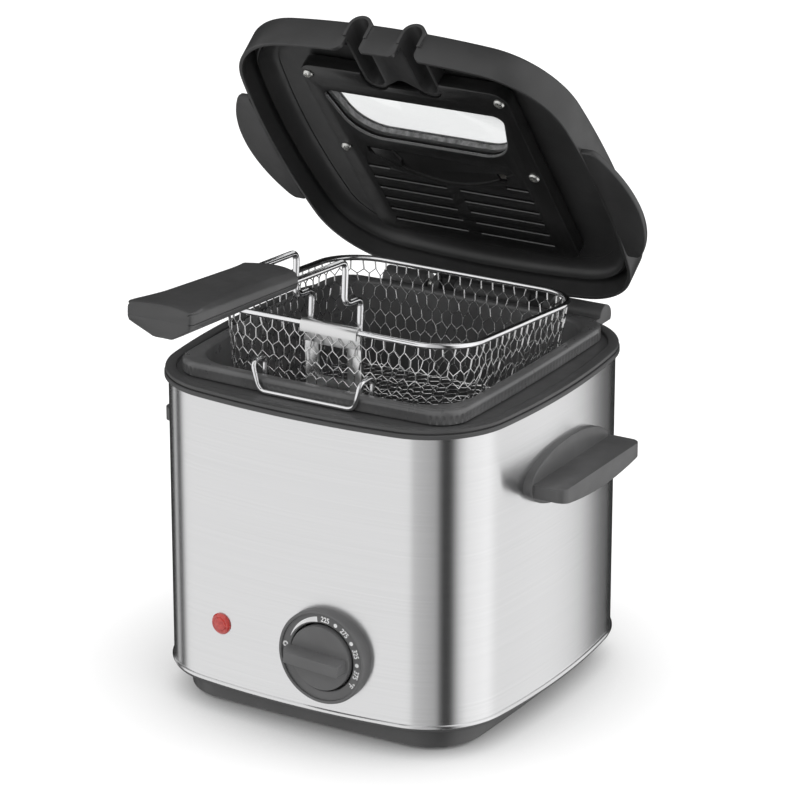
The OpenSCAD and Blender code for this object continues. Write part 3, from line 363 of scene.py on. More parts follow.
class Finish:
    """A Principled material with helpers for its patterns, which read Object coordinates."""

    def __init__(self, name, colour, roughness, metallic=0.0, **sockets):
        self.material = bpy.data.materials.new(name)
        self.material.use_nodes = True
        self.nodes = self.material.node_tree.nodes
        self.links = self.material.node_tree.links
        self.shader = self.nodes["Principled BSDF"]
        self.set("Base Color", (*colour, 1))
        self.set("Roughness", roughness)
        self.set("Metallic", metallic)
        for socket, value in sockets.items():
            self.set(socket.replace("_", " "), value)

    def set(self, socket, value):
        self.shader.inputs[socket].default_value = value

    def coordinates(self, stretch=(1, 1, 1)):
        place = self.nodes.new("ShaderNodeTexCoord")
        mapping = self.nodes.new("ShaderNodeMapping")
        mapping.inputs["Scale"].default_value = stretch
        self.links.new(place.outputs["Object"], mapping.inputs["Vector"])
        return mapping.outputs["Vector"]

    def noise(self, scale, stretch=(1, 1, 1), detail=2.0, rough=0.5):
        texture = self.nodes.new("ShaderNodeTexNoise")
        texture.inputs["Scale"].default_value = scale
        texture.inputs["Detail"].default_value = detail
        texture.inputs["Roughness"].default_value = rough
        self.links.new(self.coordinates(stretch), texture.inputs["Vector"])
        return texture.outputs["Fac"]

    def ranged(self, value, lowest, highest, start=0.3, end=0.7):
        spread = self.nodes.new("ShaderNodeMapRange")
        for socket, number in (("From Min", start), ("From Max", end), ("To Min", lowest),
                               ("To Max", highest)):
            spread.inputs[socket].default_value = number
        self.links.new(value, spread.inputs["Value"])
        return spread.outputs["Result"]

    def vary(self, socket, value, lowest, highest, start=0.3, end=0.7):
        self.links.new(self.ranged(value, lowest, highest, start, end), self.shader.inputs[socket])

    def tint(self, value, dark, light, start=0.3, end=0.7):
        mix = self.nodes.new("ShaderNodeMix")
        mix.data_type = "RGBA"
        mix.inputs["A"].default_value = (*dark, 1)
        mix.inputs["B"].default_value = (*light, 1)
        self.links.new(self.ranged(value, 0, 1, start, end), mix.inputs["Factor"])
        self.links.new(mix.outputs["Result"], self.shader.inputs["Base Color"])

    def bump(self, value, strength, distance):
        node = self.nodes.new("ShaderNodeBump")
        node.inputs["Strength"].default_value = strength
        node.inputs["Distance"].default_value = distance * MM
        self.links.new(value, node.inputs["Height"])
        before = self.shader.inputs["Normal"].links
        if before:
            self.links.new(before[0].from_socket, node.inputs["Normal"])
        self.links.new(node.outputs["Normal"], self.shader.inputs["Normal"])


def grey(value):
    return (value, value, value * 1.01)


def plastic(name, tone, roughness, spread=0.12, grain=0.03):
    """Moulded plastic: fine spark-eroded grain, faint flow marks and uneven gloss."""
    finish = Finish(name, grey(tone), roughness)
    finish.tint(finish.noise(40, detail=3), grey(tone * (1 - spread)), grey(tone * (1 + spread)))
    finish.vary("Roughness", finish.noise(120, detail=3), roughness - 0.05, roughness + 0.06)
    finish.bump(finish.noise(2600, detail=2), 0.5, grain)
    return finish.material


def brushed_steel():
    """Steel sheet brushed along the sides, so its reflections stretch up and down."""
    finish = Finish("brushed_steel", (0.68, 0.68, 0.685), 0.23, 1.0, Anisotropic=0.75,
                    Anisotropic_Rotation=0.25)
    tangent = finish.nodes.new("ShaderNodeTangent")
    tangent.direction_type = "RADIAL"
    tangent.axis = "Z"
    finish.links.new(tangent.outputs["Tangent"], finish.shader.inputs["Tangent"])
    lines = finish.noise(1, (22, 22, 5600), detail=5, rough=0.7)
    long_lines = finish.noise(1, (7, 7, 2100), detail=4, rough=0.6)
    finish.vary("Roughness", lines, 0.2, 0.27)
    finish.tint(long_lines, (0.665, 0.665, 0.67), (0.7, 0.7, 0.705))
    finish.bump(lines, 0.1, 0.005)
    return finish.material


def plated_wire():
    finish = Finish("plated_wire", (0.8, 0.8, 0.81), 0.12, 1.0)
    finish.vary("Roughness", finish.noise(300, detail=3), 0.07, 0.2)
    finish.bump(finish.noise(700), 0.15, 0.02)
    return finish.material


def net_wire():
    finish = Finish("net_wire", (0.78, 0.78, 0.78), 0.2, 1.0)
    finish.vary("Roughness", finish.noise(500, detail=3), 0.12, 0.3)
    return finish.material


def pressed_plate():
    finish = Finish("pressed_plate", (0.72, 0.72, 0.72), 0.25, 1.0)
    finish.vary("Roughness", finish.noise(60, detail=2), 0.26, 0.32)
    return finish.material


def pot_coating():
    """Grey non-stick coating with a fine orange-peel surface."""
    finish = Finish("pot_coating", grey(0.09), 0.3, Coat_Weight=0.35, Coat_Roughness=0.2)
    finish.tint(finish.noise(60, detail=4), grey(0.075), grey(0.108))
    finish.vary("Roughness", finish.noise(150, detail=3), 0.26, 0.4)
    finish.bump(finish.noise(900, detail=2), 0.3, 0.03)
    return finish.material


def metal(name, colour, roughness, scale=250):
    finish = Finish(name, colour, roughness, 1.0)
    finish.vary("Roughness", finish.noise(scale, detail=3), roughness * 0.7, roughness * 1.4)
    finish.bump(finish.noise(scale * 3), 0.15, 0.01)
    return finish.material


def moulding(name, colour, roughness):
    """Small moulded or rubber pieces in any colour."""
    finish = Finish(name, colour, roughness)
    finish.tint(finish.noise(120, detail=3), tuple(c * 0.88 for c in colour),
                tuple(min(1, c * 1.1) for c in colour))
    finish.vary("Roughness", finish.noise(400, detail=2), roughness - 0.06, roughness + 0.08)
    finish.bump(finish.noise(1500), 0.3, 0.02)
    return finish.material


def mottled_seal():
    """Grey seal with paler and darker patches."""
    finish = Finish("gasket_rubber", grey(0.2), 0.5)
    finish.tint(finish.noise(260, (1, 1, 0.4), detail=5, rough=0.65), grey(0.1), grey(0.34), 0.35, 0.68)
    finish.vary("Roughness", finish.noise(500, detail=2), 0.4, 0.62)
    finish.bump(finish.noise(900, detail=3), 0.4, 0.05)
    return finish.material


def clear_pane():
    finish = Finish("clear_pane", (0.95, 0.96, 0.96), 0.03, Transmission_Weight=1.0, IOR=1.35)
    finish.vary("Roughness", finish.noise(80, detail=3), 0.02, 0.05)
    return finish.material


def red_lens():
    finish = Finish("red_lens", (0.75, 0.05, 0.035), 0.18, Transmission_Weight=0.25, IOR=1.49,
                    Coat_Weight=0.6)
    finish.tint(finish.noise(700, detail=2), (0.6, 0.03, 0.025), (0.85, 0.09, 0.07))
    return finish.material


def felt():
    finish = Finish("filter_felt", (0.42, 0.4, 0.37), 0.9)
    finish.tint(finish.noise(900, detail=6), (0.3, 0.29, 0.27), (0.5, 0.48, 0.45))
    finish.bump(finish.noise(1800, detail=4), 0.8, 0.3)
    return finish.material


BODY_PLASTIC = plastic("body_plastic", 0.06, 0.38)
DIAL_PLASTIC = plastic("dial_plastic", 0.125, 0.42)
GRIP_PLASTIC = plastic("grip_plastic", 0.055, 0.36)
HANDLE_PLASTIC = plastic("handle_plastic", 0.085, 0.34)
LID_PLASTIC = plastic("lid_plastic", 0.035, 0.36)
# Liner tone set darker than the lid's plastic to stand in for the shade inside the lid: painted shade
SHADED_LINER_PLASTIC = plastic("liner_plastic", 0.01, 0.34)
# Paler plastic for the painted highlights along the liner's vent edges and window opening
HIGHLIGHT_PLASTIC = plastic("painted_highlight_plastic", 0.11, 0.3)
STEEL = brushed_steel()
WIRE = plated_wire()
NET = net_wire()
PLATE = pressed_plate()
COATING = pot_coating()
SCREW = metal("zinc_screw", (0.62, 0.62, 0.6), 0.3)
PLAIN_STEEL = metal("plain_steel", (0.5, 0.5, 0.5), 0.35)
ALUMINISED = metal("aluminised_sheet", (0.55, 0.55, 0.56), 0.4, 90)
SHEATH = metal("element_sheath", (0.22, 0.19, 0.16), 0.5, 120)
COPPER = metal("copper", (0.72, 0.43, 0.25), 0.3)
CERAMIC = moulding("inner_plastic", (0.72, 0.69, 0.62), 0.4)
RUBBER = moulding("foot_rubber", (0.02, 0.02, 0.02), 0.75)
GASKET = mottled_seal()
JACKET = moulding("wire_jacket", (0.3, 0.12, 0.06), 0.45)
INK = moulding("white_ink", (0.95, 0.95, 0.95), 0.4)
PANE = clear_pane()
LENS = red_lens()
FELT = felt()


# ---- camera, floor and light ----

VIEW_AZIMUTH = 30.552
VIEW_ELEVATION = 20.156
VIEW_DISTANCE = 1931.2
VIEW_TARGET = Vector((3.445, 0, 144.64))
FOCAL_SHARE = 3911.6 / 800
SENSOR = 36


def make_camera():
    data = bpy.data.cameras.new("camera")
    data.sensor_width = SENSOR
    data.lens = FOCAL_SHARE * SENSOR
    data.clip_start, data.clip_end = 0.05, 50
    camera = bpy.data.objects.new("camera", data)
    a, e = math.radians(VIEW_AZIMUTH), math.radians(VIEW_ELEVATION)
    back = Vector((math.sin(a) * math.cos(e), -math.cos(a) * math.cos(e), math.sin(e)))
    camera.location = (VIEW_TARGET + back * VIEW_DISTANCE) * MM
    camera.rotation_euler = (-back).to_track_quat("-Z", "Y").to_euler()
    bpy.context.scene.collection.objects.link(camera)
    bpy.context.scene.camera = camera


FLOOR_GLOW = 0.72
FLOOR_HALF = 4000
CONTACT_SHADOW = 90


def make_floor():
    """White floor that keeps the shadow, with its glow dimmed by ambient occlusion near the object as a painted
    contact shadow; shiny surfaces look through it at the studio.
    """
    corners = [(x * FLOOR_HALF, y * FLOOR_HALF, 0) for x, y in ((-1, -1), (1, -1), (1, 1), (-1, 1))]
    floor = solid("floor", corners, [(0, 1, 2, 3)])
    finish = Finish("white_floor", (0.5, 0.5, 0.5), 0.4, Specular_IOR_Level=0.1,
                    Emission_Color=(1, 1, 1, 1))
    rays = finish.nodes.new("ShaderNodeLightPath")
    painted_contact_shade = finish.nodes.new("ShaderNodeAmbientOcclusion")
    painted_contact_shade.inputs["Distance"].default_value = CONTACT_SHADOW * MM
    painted_contact_shade.samples = 8

    def maths(operation, *values):
        node = finish.nodes.new("ShaderNodeMath")
        node.operation = operation
        for i, value in enumerate(values):
            if isinstance(value, float):
                node.inputs[i].default_value = value
            else:
                finish.links.new(value, node.inputs[i])
        return node.outputs[0]

    # Painted contact shadow: the floor's camera-ray glow falls off with ambient occlusion near the object
    shown = maths("MULTIPLY", painted_contact_shade.outputs["AO"], rays.outputs["Is Camera Ray"])
    glow = maths("MULTIPLY", shown, FLOOR_GLOW)
    strength = maths("MAXIMUM", glow, rays.outputs["Is Transmission Ray"])
    finish.links.new(strength, finish.shader.inputs["Emission Strength"])
    clear = finish.nodes.new("ShaderNodeBsdfTransparent")
    mix = finish.nodes.new("ShaderNodeMixShader")
    finish.links.new(rays.outputs["Is Glossy Ray"], mix.inputs["Fac"])
    finish.links.new(finish.shader.outputs[0], mix.inputs[1])
    finish.links.new(clear.outputs[0], mix.inputs[2])
    finish.links.new(mix.outputs[0], finish.nodes["Material Output"].inputs["Surface"])
    floor.data.materials.append(finish.material)


def make_world():
    """Soft light from all round, weaker from above; shiny surfaces see panels and dark gaps."""
    world = bpy.data.worlds.new("studio")
    bpy.context.scene.world = world
    world.use_nodes = True
    nodes, links = world.node_tree.nodes, world.node_tree.links
    out = nodes["Background"]
    place = nodes.new("ShaderNodeTexCoord")
    parts = nodes.new("ShaderNodeSeparateXYZ")
    links.new(place.outputs["Generated"], parts.inputs[0])

    def maths(operation, a, b=None):
        node = nodes.new("ShaderNodeMath")
        node.operation = operation
        for i, value in enumerate((a, b)):
            if isinstance(value, (int, float)):
                node.inputs[i].default_value = value
            elif value is not None:
                links.new(value, node.inputs[i])
        return node.outputs[0]

    def ramp(value, stops):
        node = nodes.new("ShaderNodeValToRGB")
        elements = node.color_ramp.elements
        while len(elements) < len(stops):
            elements.new(0.5)
        for element, (position, tone) in zip(elements, stops):
            element.position = position
            element.color = (tone, tone, tone, 1)
        links.new(value, node.inputs[0])
        return node.outputs[0]

    def pick(condition, a, b):
        node = nodes.new("ShaderNodeMix")
        node.data_type = "RGBA"
        links.new(condition, node.inputs["Factor"])
        for socket, value in (("A", a), ("B", b)):
            if isinstance(value, tuple):
                node.inputs[socket].default_value = value
            else:
                links.new(value, node.inputs[socket])
        return node.outputs["Result"]

    # 0 is the front, a quarter the right-hand side, a half the back
    azimuth = maths("ARCTAN2", parts.outputs["X"], maths("MULTIPLY", parts.outputs["Y"], -1))
    share = maths("FRACT", maths("ADD", maths("DIVIDE", azimuth, 2 * math.pi), 1))
    soft = maths("MULTIPLY", ramp(share, AROUND_SOFT), ramp(parts.outputs["Z"], UPWARD_SOFT))
    shiny = maths("MULTIPLY", ramp(share, AROUND_SHINY), ramp(parts.outputs["Z"], UPWARD_SHINY))
    rays = nodes.new("ShaderNodeLightPath")
    seen = pick(rays.outputs["Is Glossy Ray"], soft, shiny)
    seen = pick(rays.outputs["Is Transmission Ray"], seen, (1, 1, 1, 1))
    seen = pick(rays.outputs["Is Camera Ray"], seen, (1, 1, 1, 1))
    links.new(seen, out.inputs["Color"])


def at(degrees):
    """Share of a full turn, from the front towards the right-hand side."""
    return degrees % 360 / 360


AROUND_SOFT = [(0.0, 1.05), (at(50), 1.15), (at(95), 2.1), (at(140), 1.3), (at(180), 0.8), (at(230), 0.8),
               (at(320), 1.1), (1.0, 1.05)]
UPWARD_SOFT = [(0.0, 1.0), (0.35, 1.05), (0.7, 0.9), (1.0, 0.75)]
AROUND_SHINY = [(0.0, 1.03), (at(3), 1.0), (at(8), 0.7), (at(38), 0.5), (at(44), 0.12),
                (at(48), 0.03), (at(58), 0.04), (at(69), 0.75), (at(80), 1.1), (at(112), 1.28),
                (at(130), 1.02), (at(138), 1.0), (at(147), 1.1), (at(156), 1.0), (at(160), 0.85),
                (at(162), 0.1), (at(165), 0.03), (at(248), 0.03), (at(253), 0.7), (at(259), 0.7),
                (at(263), 0.03), (at(270), 0.03), (at(276), 0.6), (at(282), 1.03), (1.0, 1.03)]
UPWARD_SHINY = [(0.0, 1.0), (0.5, 1.0), (0.85, 0.9), (1.0, 0.85)]

make_camera()
make_floor()
make_world()
bpy.context.scene.view_settings.view_transform = "Standard"


# ---- housing ----

def around(name, profile):
    """Frame whose section is a list of (outline, height) pairs, run round the fryer."""
    return loft(name, [lift(outline, z) for outline, z in profile], closed=True)


INLET_FLANGE = 4.9


def make_housing():
    top = high("steel_housing").z
    bead = [(0, 2.0), (-0.5, 1.7), (-BEAD_OUT, 1.1), (-BEAD_OUT, 0.5), (-0.5, 0.05), (SHEET, 0)]
    profile = [(body_outline(SHEET), top), (body_outline(0), top)]
    profile += [(body_outline(0), STEEL_LOW + 40)]
    profile += [(body_outline(d), STEEL_LOW + z) for d, z in bead]
    housing = around("housing_sheet", profile)
    least, most = low("cord_inlet"), high("cord_inlet")
    cut(housing, block("inlet_hole", least.x + INLET_FLANGE, most.x - INLET_FLANGE, BODY_HALF - 8,
                       BODY_HALF + 5, least.z + INLET_FLANGE, most.z - INLET_FLANGE))
    hole = lathe("dial_hole", [(0, -4), (KNOB_R + 1, -4), (KNOB_R + 1, 4), (0, 4)], 64)
    cut(housing, to_front(hole, DIAL_X, -BODY_HALF, DIAL_Z))
    piece(housing, "root", STEEL, ["steel_housing"])


def make_tray():
    side = [(square_outline(TRAY_HALF - d, TRAY_R - d), TRAY_LOW + z) for d, z in
            [(4, 0), (1.2, 0), (0.35, 0.35), (0, 1.2), (0, 12.6)]]
    flange = [(body_outline(1.2), STEEL_LOW - 1.4), (body_outline(0.2), STEEL_LOW - 1.4),
              (body_outline(-0.2), STEEL_LOW - 1.0), (body_outline(-0.2), STEEL_LOW - 0.1),
              (body_outline(1), STEEL_LOW - 0.1)]
    floor_rings = [(square_outline(TRAY_HALF - 6, TRAY_R - 6), TRAY_LOW)]
    rings = [lift(o, z) for o, z in floor_rings + side + flange]
    inner = square_outline(TRAY_HALF - 2.4, TRAY_R - 2.4)
    rings += [lift(inner, STEEL_LOW - 0.1), lift(inner, TRAY_LOW + 2.4)]
    tray = loft("tray", rings)
    for i in range(-3, 4):
        slot = prism("slot", [(x, y + 8 * i) for x, y in round_rect(60, 3, 1.45, 6)],
                     TRAY_LOW - 1, TRAY_LOW + 4)
        cut(tray, slot)
    piece(tray, "root", BODY_PLASTIC, ["base_tray"])


BARREL_R = 6.2
BARREL_X = 39
BARREL_W = 25
PIN_HOLE_R = 2.2
HINGE_RUN = 0.4
KNUCKLE_X = 26
KNUCKLE_HALF = 4
LUG_W = 4.6
LUG_STARTS = (17.0, 30.4)
HOOD_HALF = 17.3
SPRING_R = 4.4
SIDEWAYS = Matrix(((0, 0, 1, 0), (1, 0, 0, 0), (0, 1, 0, 0), (0, 0, 0, 1)))


def hinge_rod(x0, x1, r, n=40):
    """Round bar on the hinge's axis."""
    rod = outward(moved(prism("rod", circle(r, n), x0, x1), SIDEWAYS))
    return placed(rod, y=HINGE_Y, z=HINGE_Z)


def hinge_lug(x0, x1, root_y, pierced=True):
    section = arc(HINGE_Y, HINGE_Z, BARREL_R, -30, 173, 30)
    section += [(root_y, RIDGE_TOP - 0.3), (root_y, STEEL_TOP + 0.3)]
    lug = outward(moved(prism("lug", section, x0, x1), SIDEWAYS))
    if pierced:
        cut(lug, hinge_rod(x0 - 1, x1 + 1, PIN_HOLE_R))
    return soft_edges(lug, 0.5)


def spring_hood():
    """Half a barrel over the hinge's spring, from lug to lug."""
    section = arc(HINGE_Y, HINGE_Z, BARREL_R, -12, 192, 30) + arc(HINGE_Y, HINGE_Z, SPRING_R, 192, -12, 24)
    return outward(moved(prism("hood", section, -HOOD_HALF, HOOD_HALF), SIDEWAYS))


def make_collar():
    profile = [(body_outline(d), z) for d, z in [
        (1.0, STEEL_TOP), (-1.8, STEEL_TOP), (-2.0, STEEL_TOP + 0.2), (-2.0, LIP_TOP - 0.35),
        (-1.65, LIP_TOP), (-0.7, LIP_TOP + 0.02), (-0.6, LIP_TOP + 0.1), (-0.6, RIDGE_LOW),
        (-1.3, RIDGE_LOW), (-1.5, RIDGE_LOW + 0.2), (-1.5, RIDGE_TOP - 0.5), (-1.3, RIDGE_TOP - 0.15),
        (-0.9, RIDGE_TOP), (3.4, RIDGE_TOP), (3.8, RIDGE_TOP - 0.2), (4.0, RIDGE_TOP - 0.6),
        (4.1, FLAT_Z)]]
    seat, hole = square_outline(78.5, 28), square_outline(76, 25.5)
    profile += [(seat, FLAT_Z), (seat, POT_TOP - 1.7), (hole, POT_TOP - 1.7), (hole, STEEL_TOP - 7)]
    profile += [(body_outline(3.2), STEEL_TOP - 7), (body_outline(1.0), STEEL_TOP - 7)]
    collar = around("collar_ring", profile)
    room = KNUCKLE_HALF + HINGE_RUN
    cut(collar, *[hinge_rod(x - room, x + room, BARREL_R + HINGE_RUN) for x in (-KNUCKLE_X, KNUCKLE_X)])
    lugs = [spring_hood()]
    for low_x in LUG_STARTS:
        lugs += [hinge_lug(x, x + LUG_W, BODY_HALF - 3) for x in (low_x, -low_x - LUG_W)]
    lugs += [hinge_lug(x, x + BARREL_W, BODY_HALF - 8, False) for x in (BARREL_X, -BARREL_X - BARREL_W)]
    piece(joined("collar_moulding", collar, *lugs), "root", BODY_PLASTIC, ["collar"])


def make_pot():
    """Pot with a folded rim; the fold's skirt is crimped all round."""
    crimp_pitch = 3.2
    side_n, corner_n = 150, 60

    def outline(half, r, crimp=0.0):
        points = bowed(half, FLAT_SIDE_R, r, side_n, corner_n)
        if not crimp:
            return points
        length, out = 0.0, []
        for i, p in enumerate(points):
            q = points[(i + 1) % len(points)]
            length += math.dist(p, q)
            wave = 0.5 - 0.5 * math.cos(2 * math.pi * length / crimp_pitch)
            k = 1 - crimp * wave ** 2 / math.hypot(*p)
            out.append((p[0] * k, p[1] * k))
        return out

    half, r = POT_RIM_HALF, 15
    edge = [(half - 1.3, r - 1.3, FLAT_Z + 0.5, 0), (half - 0.2, r, FLAT_Z + 0.4, 0),
            (half, r, FLAT_Z + 0.8, 0), (half, r, FLAT_Z + 1.6, 0.35), (half, r, FLAT_Z + 4.2, 0.35),
            (half, r, FLAT_Z + 5.0, 0)]
    edge += [(half - 2.2 * (1 - math.cos(a)), r - 1.2 * (1 - math.cos(a)),
              POT_TOP - 2.2 + 2.2 * math.sin(a), 0) for a in np.radians([15, 35, 55, 75, 90])]
    edge += [(POT_HALF + 2.0 - 2.0 * math.sin(a), 24, POT_TOP - 2.0 + 2.0 * math.cos(a), 0)
             for a in np.radians([0, 30, 60, 90])]
    edge += [(POT_HALF, 24, POT_FLOOR + 9, 0)]
    edge += [(POT_HALF - 9 * (1 - math.cos(a)), 24 - 6 * (1 - math.cos(a)), POT_FLOOR + 9 - 9 * math.sin(a), 0)
             for a in np.radians([20, 40, 60, 75, 90])]
    edge += [(30, 12, POT_FLOOR, 0), (30, 12, POT_FLOOR - 1.5, 0), (POT_HALF - 6, 20, POT_FLOOR - 1.5, 0),
             (POT_HALF + 1.4, 25, POT_FLOOR + 6, 0), (POT_HALF + 1.5, 25.5, POT_TOP - 1.6, 0),
             (half - 1.3, r - 1.3, POT_TOP - 2.4, 0)]
    rings = [lift(outline(h, rr, c), z) for h, rr, z, c in edge]
    pot = loft("coated_pot", rings, closed=True)
    bm = bmesh.new()
    bm.from_mesh(pot.data)
    reach = 30.5 * MM
    floor_ring = [v for v in bm.verts if abs(v.co.x) < reach and abs(v.co.y) < reach]
    for z in (POT_FLOOR, POT_FLOOR - 1.5):
        ring = [v for v in floor_ring if abs(v.co.z / MM - z) < 0.01]
        ring.sort(key=lambda v: math.atan2(v.co.y, v.co.x))
        bm.faces.new(ring)
    hole = [f for f in bm.faces if len(f.verts) == 4
            and all(abs(v.co.x) < reach and abs(v.co.y) < reach for v in f.verts)]
    bmesh.ops.delete(bm, geom=hole, context="FACES_ONLY")
    bmesh.ops.recalc_face_normals(bm, faces=bm.faces)
    bm.to_mesh(pot.data)
    bm.free()
    piece(pot, "root", COATING, ["oil_pot"], angle=40)


# ---- dial and lamp ----

RIM_W = 1.8
SCALE_DROP = 1.2
SCALE_R = 19.7
PRINT_T = 0.05
DOT_R = 1.05
NUMBER_H = 3.8


def dial_point(degrees, r, lift_off=0.06):
    """A place on the scale, seen from the front and counted from the right, anticlockwise."""
    a = math.radians(degrees)
    return (DIAL_X + r * math.cos(a), DIAL_FACE + SCALE_DROP - lift_off, DIAL_Z + r * math.sin(a))


def make_dial():
    depth = 9
    r = DIAL_R
    profile = [(KNOB_R + 0.5, 0), (r - 0.6, 0), (r, 0.5), (r, depth - 1.0), (r - 0.3, depth - 0.35),
               (r - 0.9, depth), (r - RIM_W + 0.6, depth), (r - RIM_W + 0.1, depth - 0.3),
               (r - RIM_W, depth - SCALE_DROP), (KNOB_R + 0.9, depth - SCALE_DROP),
               (KNOB_R + 0.5, depth - SCALE_DROP - 0.4)]
    rings = [lift(circle(rr, 128), z) for rr, z in profile]
    ring = loft("dial_scale_ring", rings, closed=True)
    back = lathe("dial_floor", [(0, 0), (KNOB_R + 0.5, 0), (KNOB_R + 0.5, 1.6), (0, 1.6)], 64)
    ring = joined("dial_scale_ring", ring, back)
    to_front(ring, DIAL_X, DIAL_FACE + depth, DIAL_Z)
    piece(ring, "root", DIAL_PLASTIC, ["dial_ring"])


def flat_text(text, size, degrees, r, stretch=1.0):
    """Printed characters that stand outwards on the scale."""
    data = bpy.data.curves.new("print", "FONT")
    data.body = text
    data.size = size * MM
    data.align_x, data.align_y = "CENTER", "CENTER"
    data.extrude = 0.03 * MM
    data.offset = 0.09 * MM
    source = bpy.data.objects.new("print", data)
    bpy.context.scene.collection.objects.link(source)
    graph = bpy.context.evaluated_depsgraph_get()
    mesh = bpy.data.meshes.new_from_object(source.evaluated_get(graph))
    bpy.data.objects.remove(source)
    obj = bpy.data.objects.new("print", mesh)
    bpy.context.scene.collection.objects.link(obj)
    x, y, z = dial_point(degrees, r)
    turn = Matrix.Rotation(math.radians(90), 4, "X") @ Matrix.Rotation(math.radians(degrees - 90), 4, "Z")
    return moved(obj, Matrix.Translation((x, y, z)) @ turn @ Matrix.Diagonal((stretch, 1, 1, 1)))


def scale_arc(start, end, wide_in, wide_out, thin_r, n=40):
    """Tapered mark along the scale, from a thin start to a wide end."""
    inner, outer = [], []
    for i in range(n + 1):
        t = i / n
        degrees = start + (end - start) * t
        middle = thin_r + ((wide_in + wide_out) / 2 - thin_r) * t
        half = 0.12 + ((wide_out - wide_in) / 2 - 0.12) * t
        inner.append(dial_point(degrees, middle - half))
        outer.append(dial_point(degrees, middle + half))
    points = inner + outer
    points += [(x, y + PRINT_T, z) for x, y, z in points]
    m = n + 1
    faces = []
    for i in range(n):
        faces += [(i, i + 1, m + i + 1, m + i), (2 * m + i, 3 * m + i, 3 * m + i + 1, 2 * m + i + 1),
                  (i, 2 * m + i, 2 * m + i + 1, i + 1), (m + i, m + i + 1, 3 * m + i + 1, 3 * m + i)]
    faces += [(0, m, 3 * m, 2 * m), (n, 2 * m + n, 3 * m + n, m + n)]
    return outward(solid("mark", points, faces))


def scale_dot(degrees, r, size):
    x, y, z = dial_point(degrees, r)
    dot = lathe("mark", [(0, 0), (size, 0), (size, PRINT_T), (0, PRINT_T)], 16)
    return to_front(dot, x, y + PRINT_T, z)


def zero_mark():
    x, y, z = dial_point(172.5, 20.6)
    section = ((0.7, 0), (1.5, 0), (1.5, PRINT_T), (0.7, PRINT_T))
    ring = loft("mark", [lift(circle(r, 40), h) for r, h in section], True)
    return to_front(ring, x, y + PRINT_T, z)


def make_scale():
    marks = [scale_arc(156.6, 97, 18.1, 20.8, 19.0), zero_mark()]
    marks += [scale_dot(a, SCALE_R, DOT_R) for a in (66.6, 32.6, -0.3)]
    marks += [flat_text(text, NUMBER_H, a, SCALE_R, 0.85) for text, a in
              (("225", 84), ("275", 49.7), ("325", 16.5), ("375", -15.5))]
    marks += [flat_text("°F", NUMBER_H, -33, SCALE_R)]
    piece(joined("scale_print", *marks), "root", INK)


def make_knob():
    face = low("dial_ring").y - 1
    disc = lathe("disc", [(0, 0), (DISC_R - 0.3, 0), (DISC_R, 0.4), (DISC_R, 3.4), (DISC_R - 0.3, 3.9),
                          (DISC_R - 0.7, 4.0), (0, 4.0)], 96)
    to_front(disc, DIAL_X, face + 4.0, DIAL_Z)
    # sections of the bar from its tip to its tail: x, half its height at the foot and at the face
    tip = KNOB_R + 1.8
    sections = [(-tip, 2.6, 1.9), (-tip + 0.9, 3.4, 2.7), (-tip + 3.2, 3.5, 2.8), (KNOB_R - 2.4, 3.5, 2.8),
                (KNOB_R - 2.1, 3.2, 2.5)]
    outs = [1.2, 3.4, 7.8, 8.3, 8.0]
    foot = [0.3, 0.2, 0.2, 0.2, 0.4]
    rings = []
    for (x, foot_w, face_w), out, start in zip(sections, outs, foot):
        rings.append([(DIAL_X + x, face + 0.6, DIAL_Z - foot_w), (DIAL_X + x, face + 0.6, DIAL_Z + foot_w),
                      (DIAL_X + x, face - start, DIAL_Z + foot_w), (DIAL_X + x, face - out, DIAL_Z + face_w),
                      (DIAL_X + x, face - out, DIAL_Z - face_w), (DIAL_X + x, face - start, DIAL_Z - foot_w)])
    bar = soft_edges(loft("bar", rings), 0.3, 3, 20)
    centre = Matrix.Translation((DIAL_X, 0, DIAL_Z))
    tilt = Matrix.Rotation(math.radians(3), 4, "Y") @ Matrix.Translation((0, 0, -0.4))
    moved(bar, centre @ tilt @ centre.inverted())
    piece(joined("knob_moulding", disc, bar), "dial_knob", DIAL_PLASTIC, ["knob"])


def make_lamp():
    sag = SIDE_R - math.sqrt(SIDE_R ** 2 - LAMP_X ** 2)
    turn = math.degrees(math.asin(LAMP_X / SIDE_R))
    r = 5.5
    facets = 20
    profile = [(0, -1), (r - 0.2, -1), (r, 0), (r, 0.7), (r - 0.6, 1.3), (r - 1.5, 1.6), (r - 1.9, 1.5),
               (r - 2.2, 2.0), (0.8, 2.4), (0, 2.4)]
    lens = to_front(lathe("lamp_lens", profile, facets), 0, 0, 0)
    placed(lens, LAMP_X, sag - BODY_HALF, LAMP_Z, turn, "Z")
    piece(lens, "root", LENS, ["indicator_lens"], angle=12)


# ---- side handles ----

HANDLE_Y = 5
SHELF_TOP = STEEL_LOW + 114
PLATE_HALF = 40
PLATE_RISE = 15
PLATE_OUT = 2.9
SHELF_HALF = 40
SHELF_REACH = 19.5
SHELF_T = 6.5


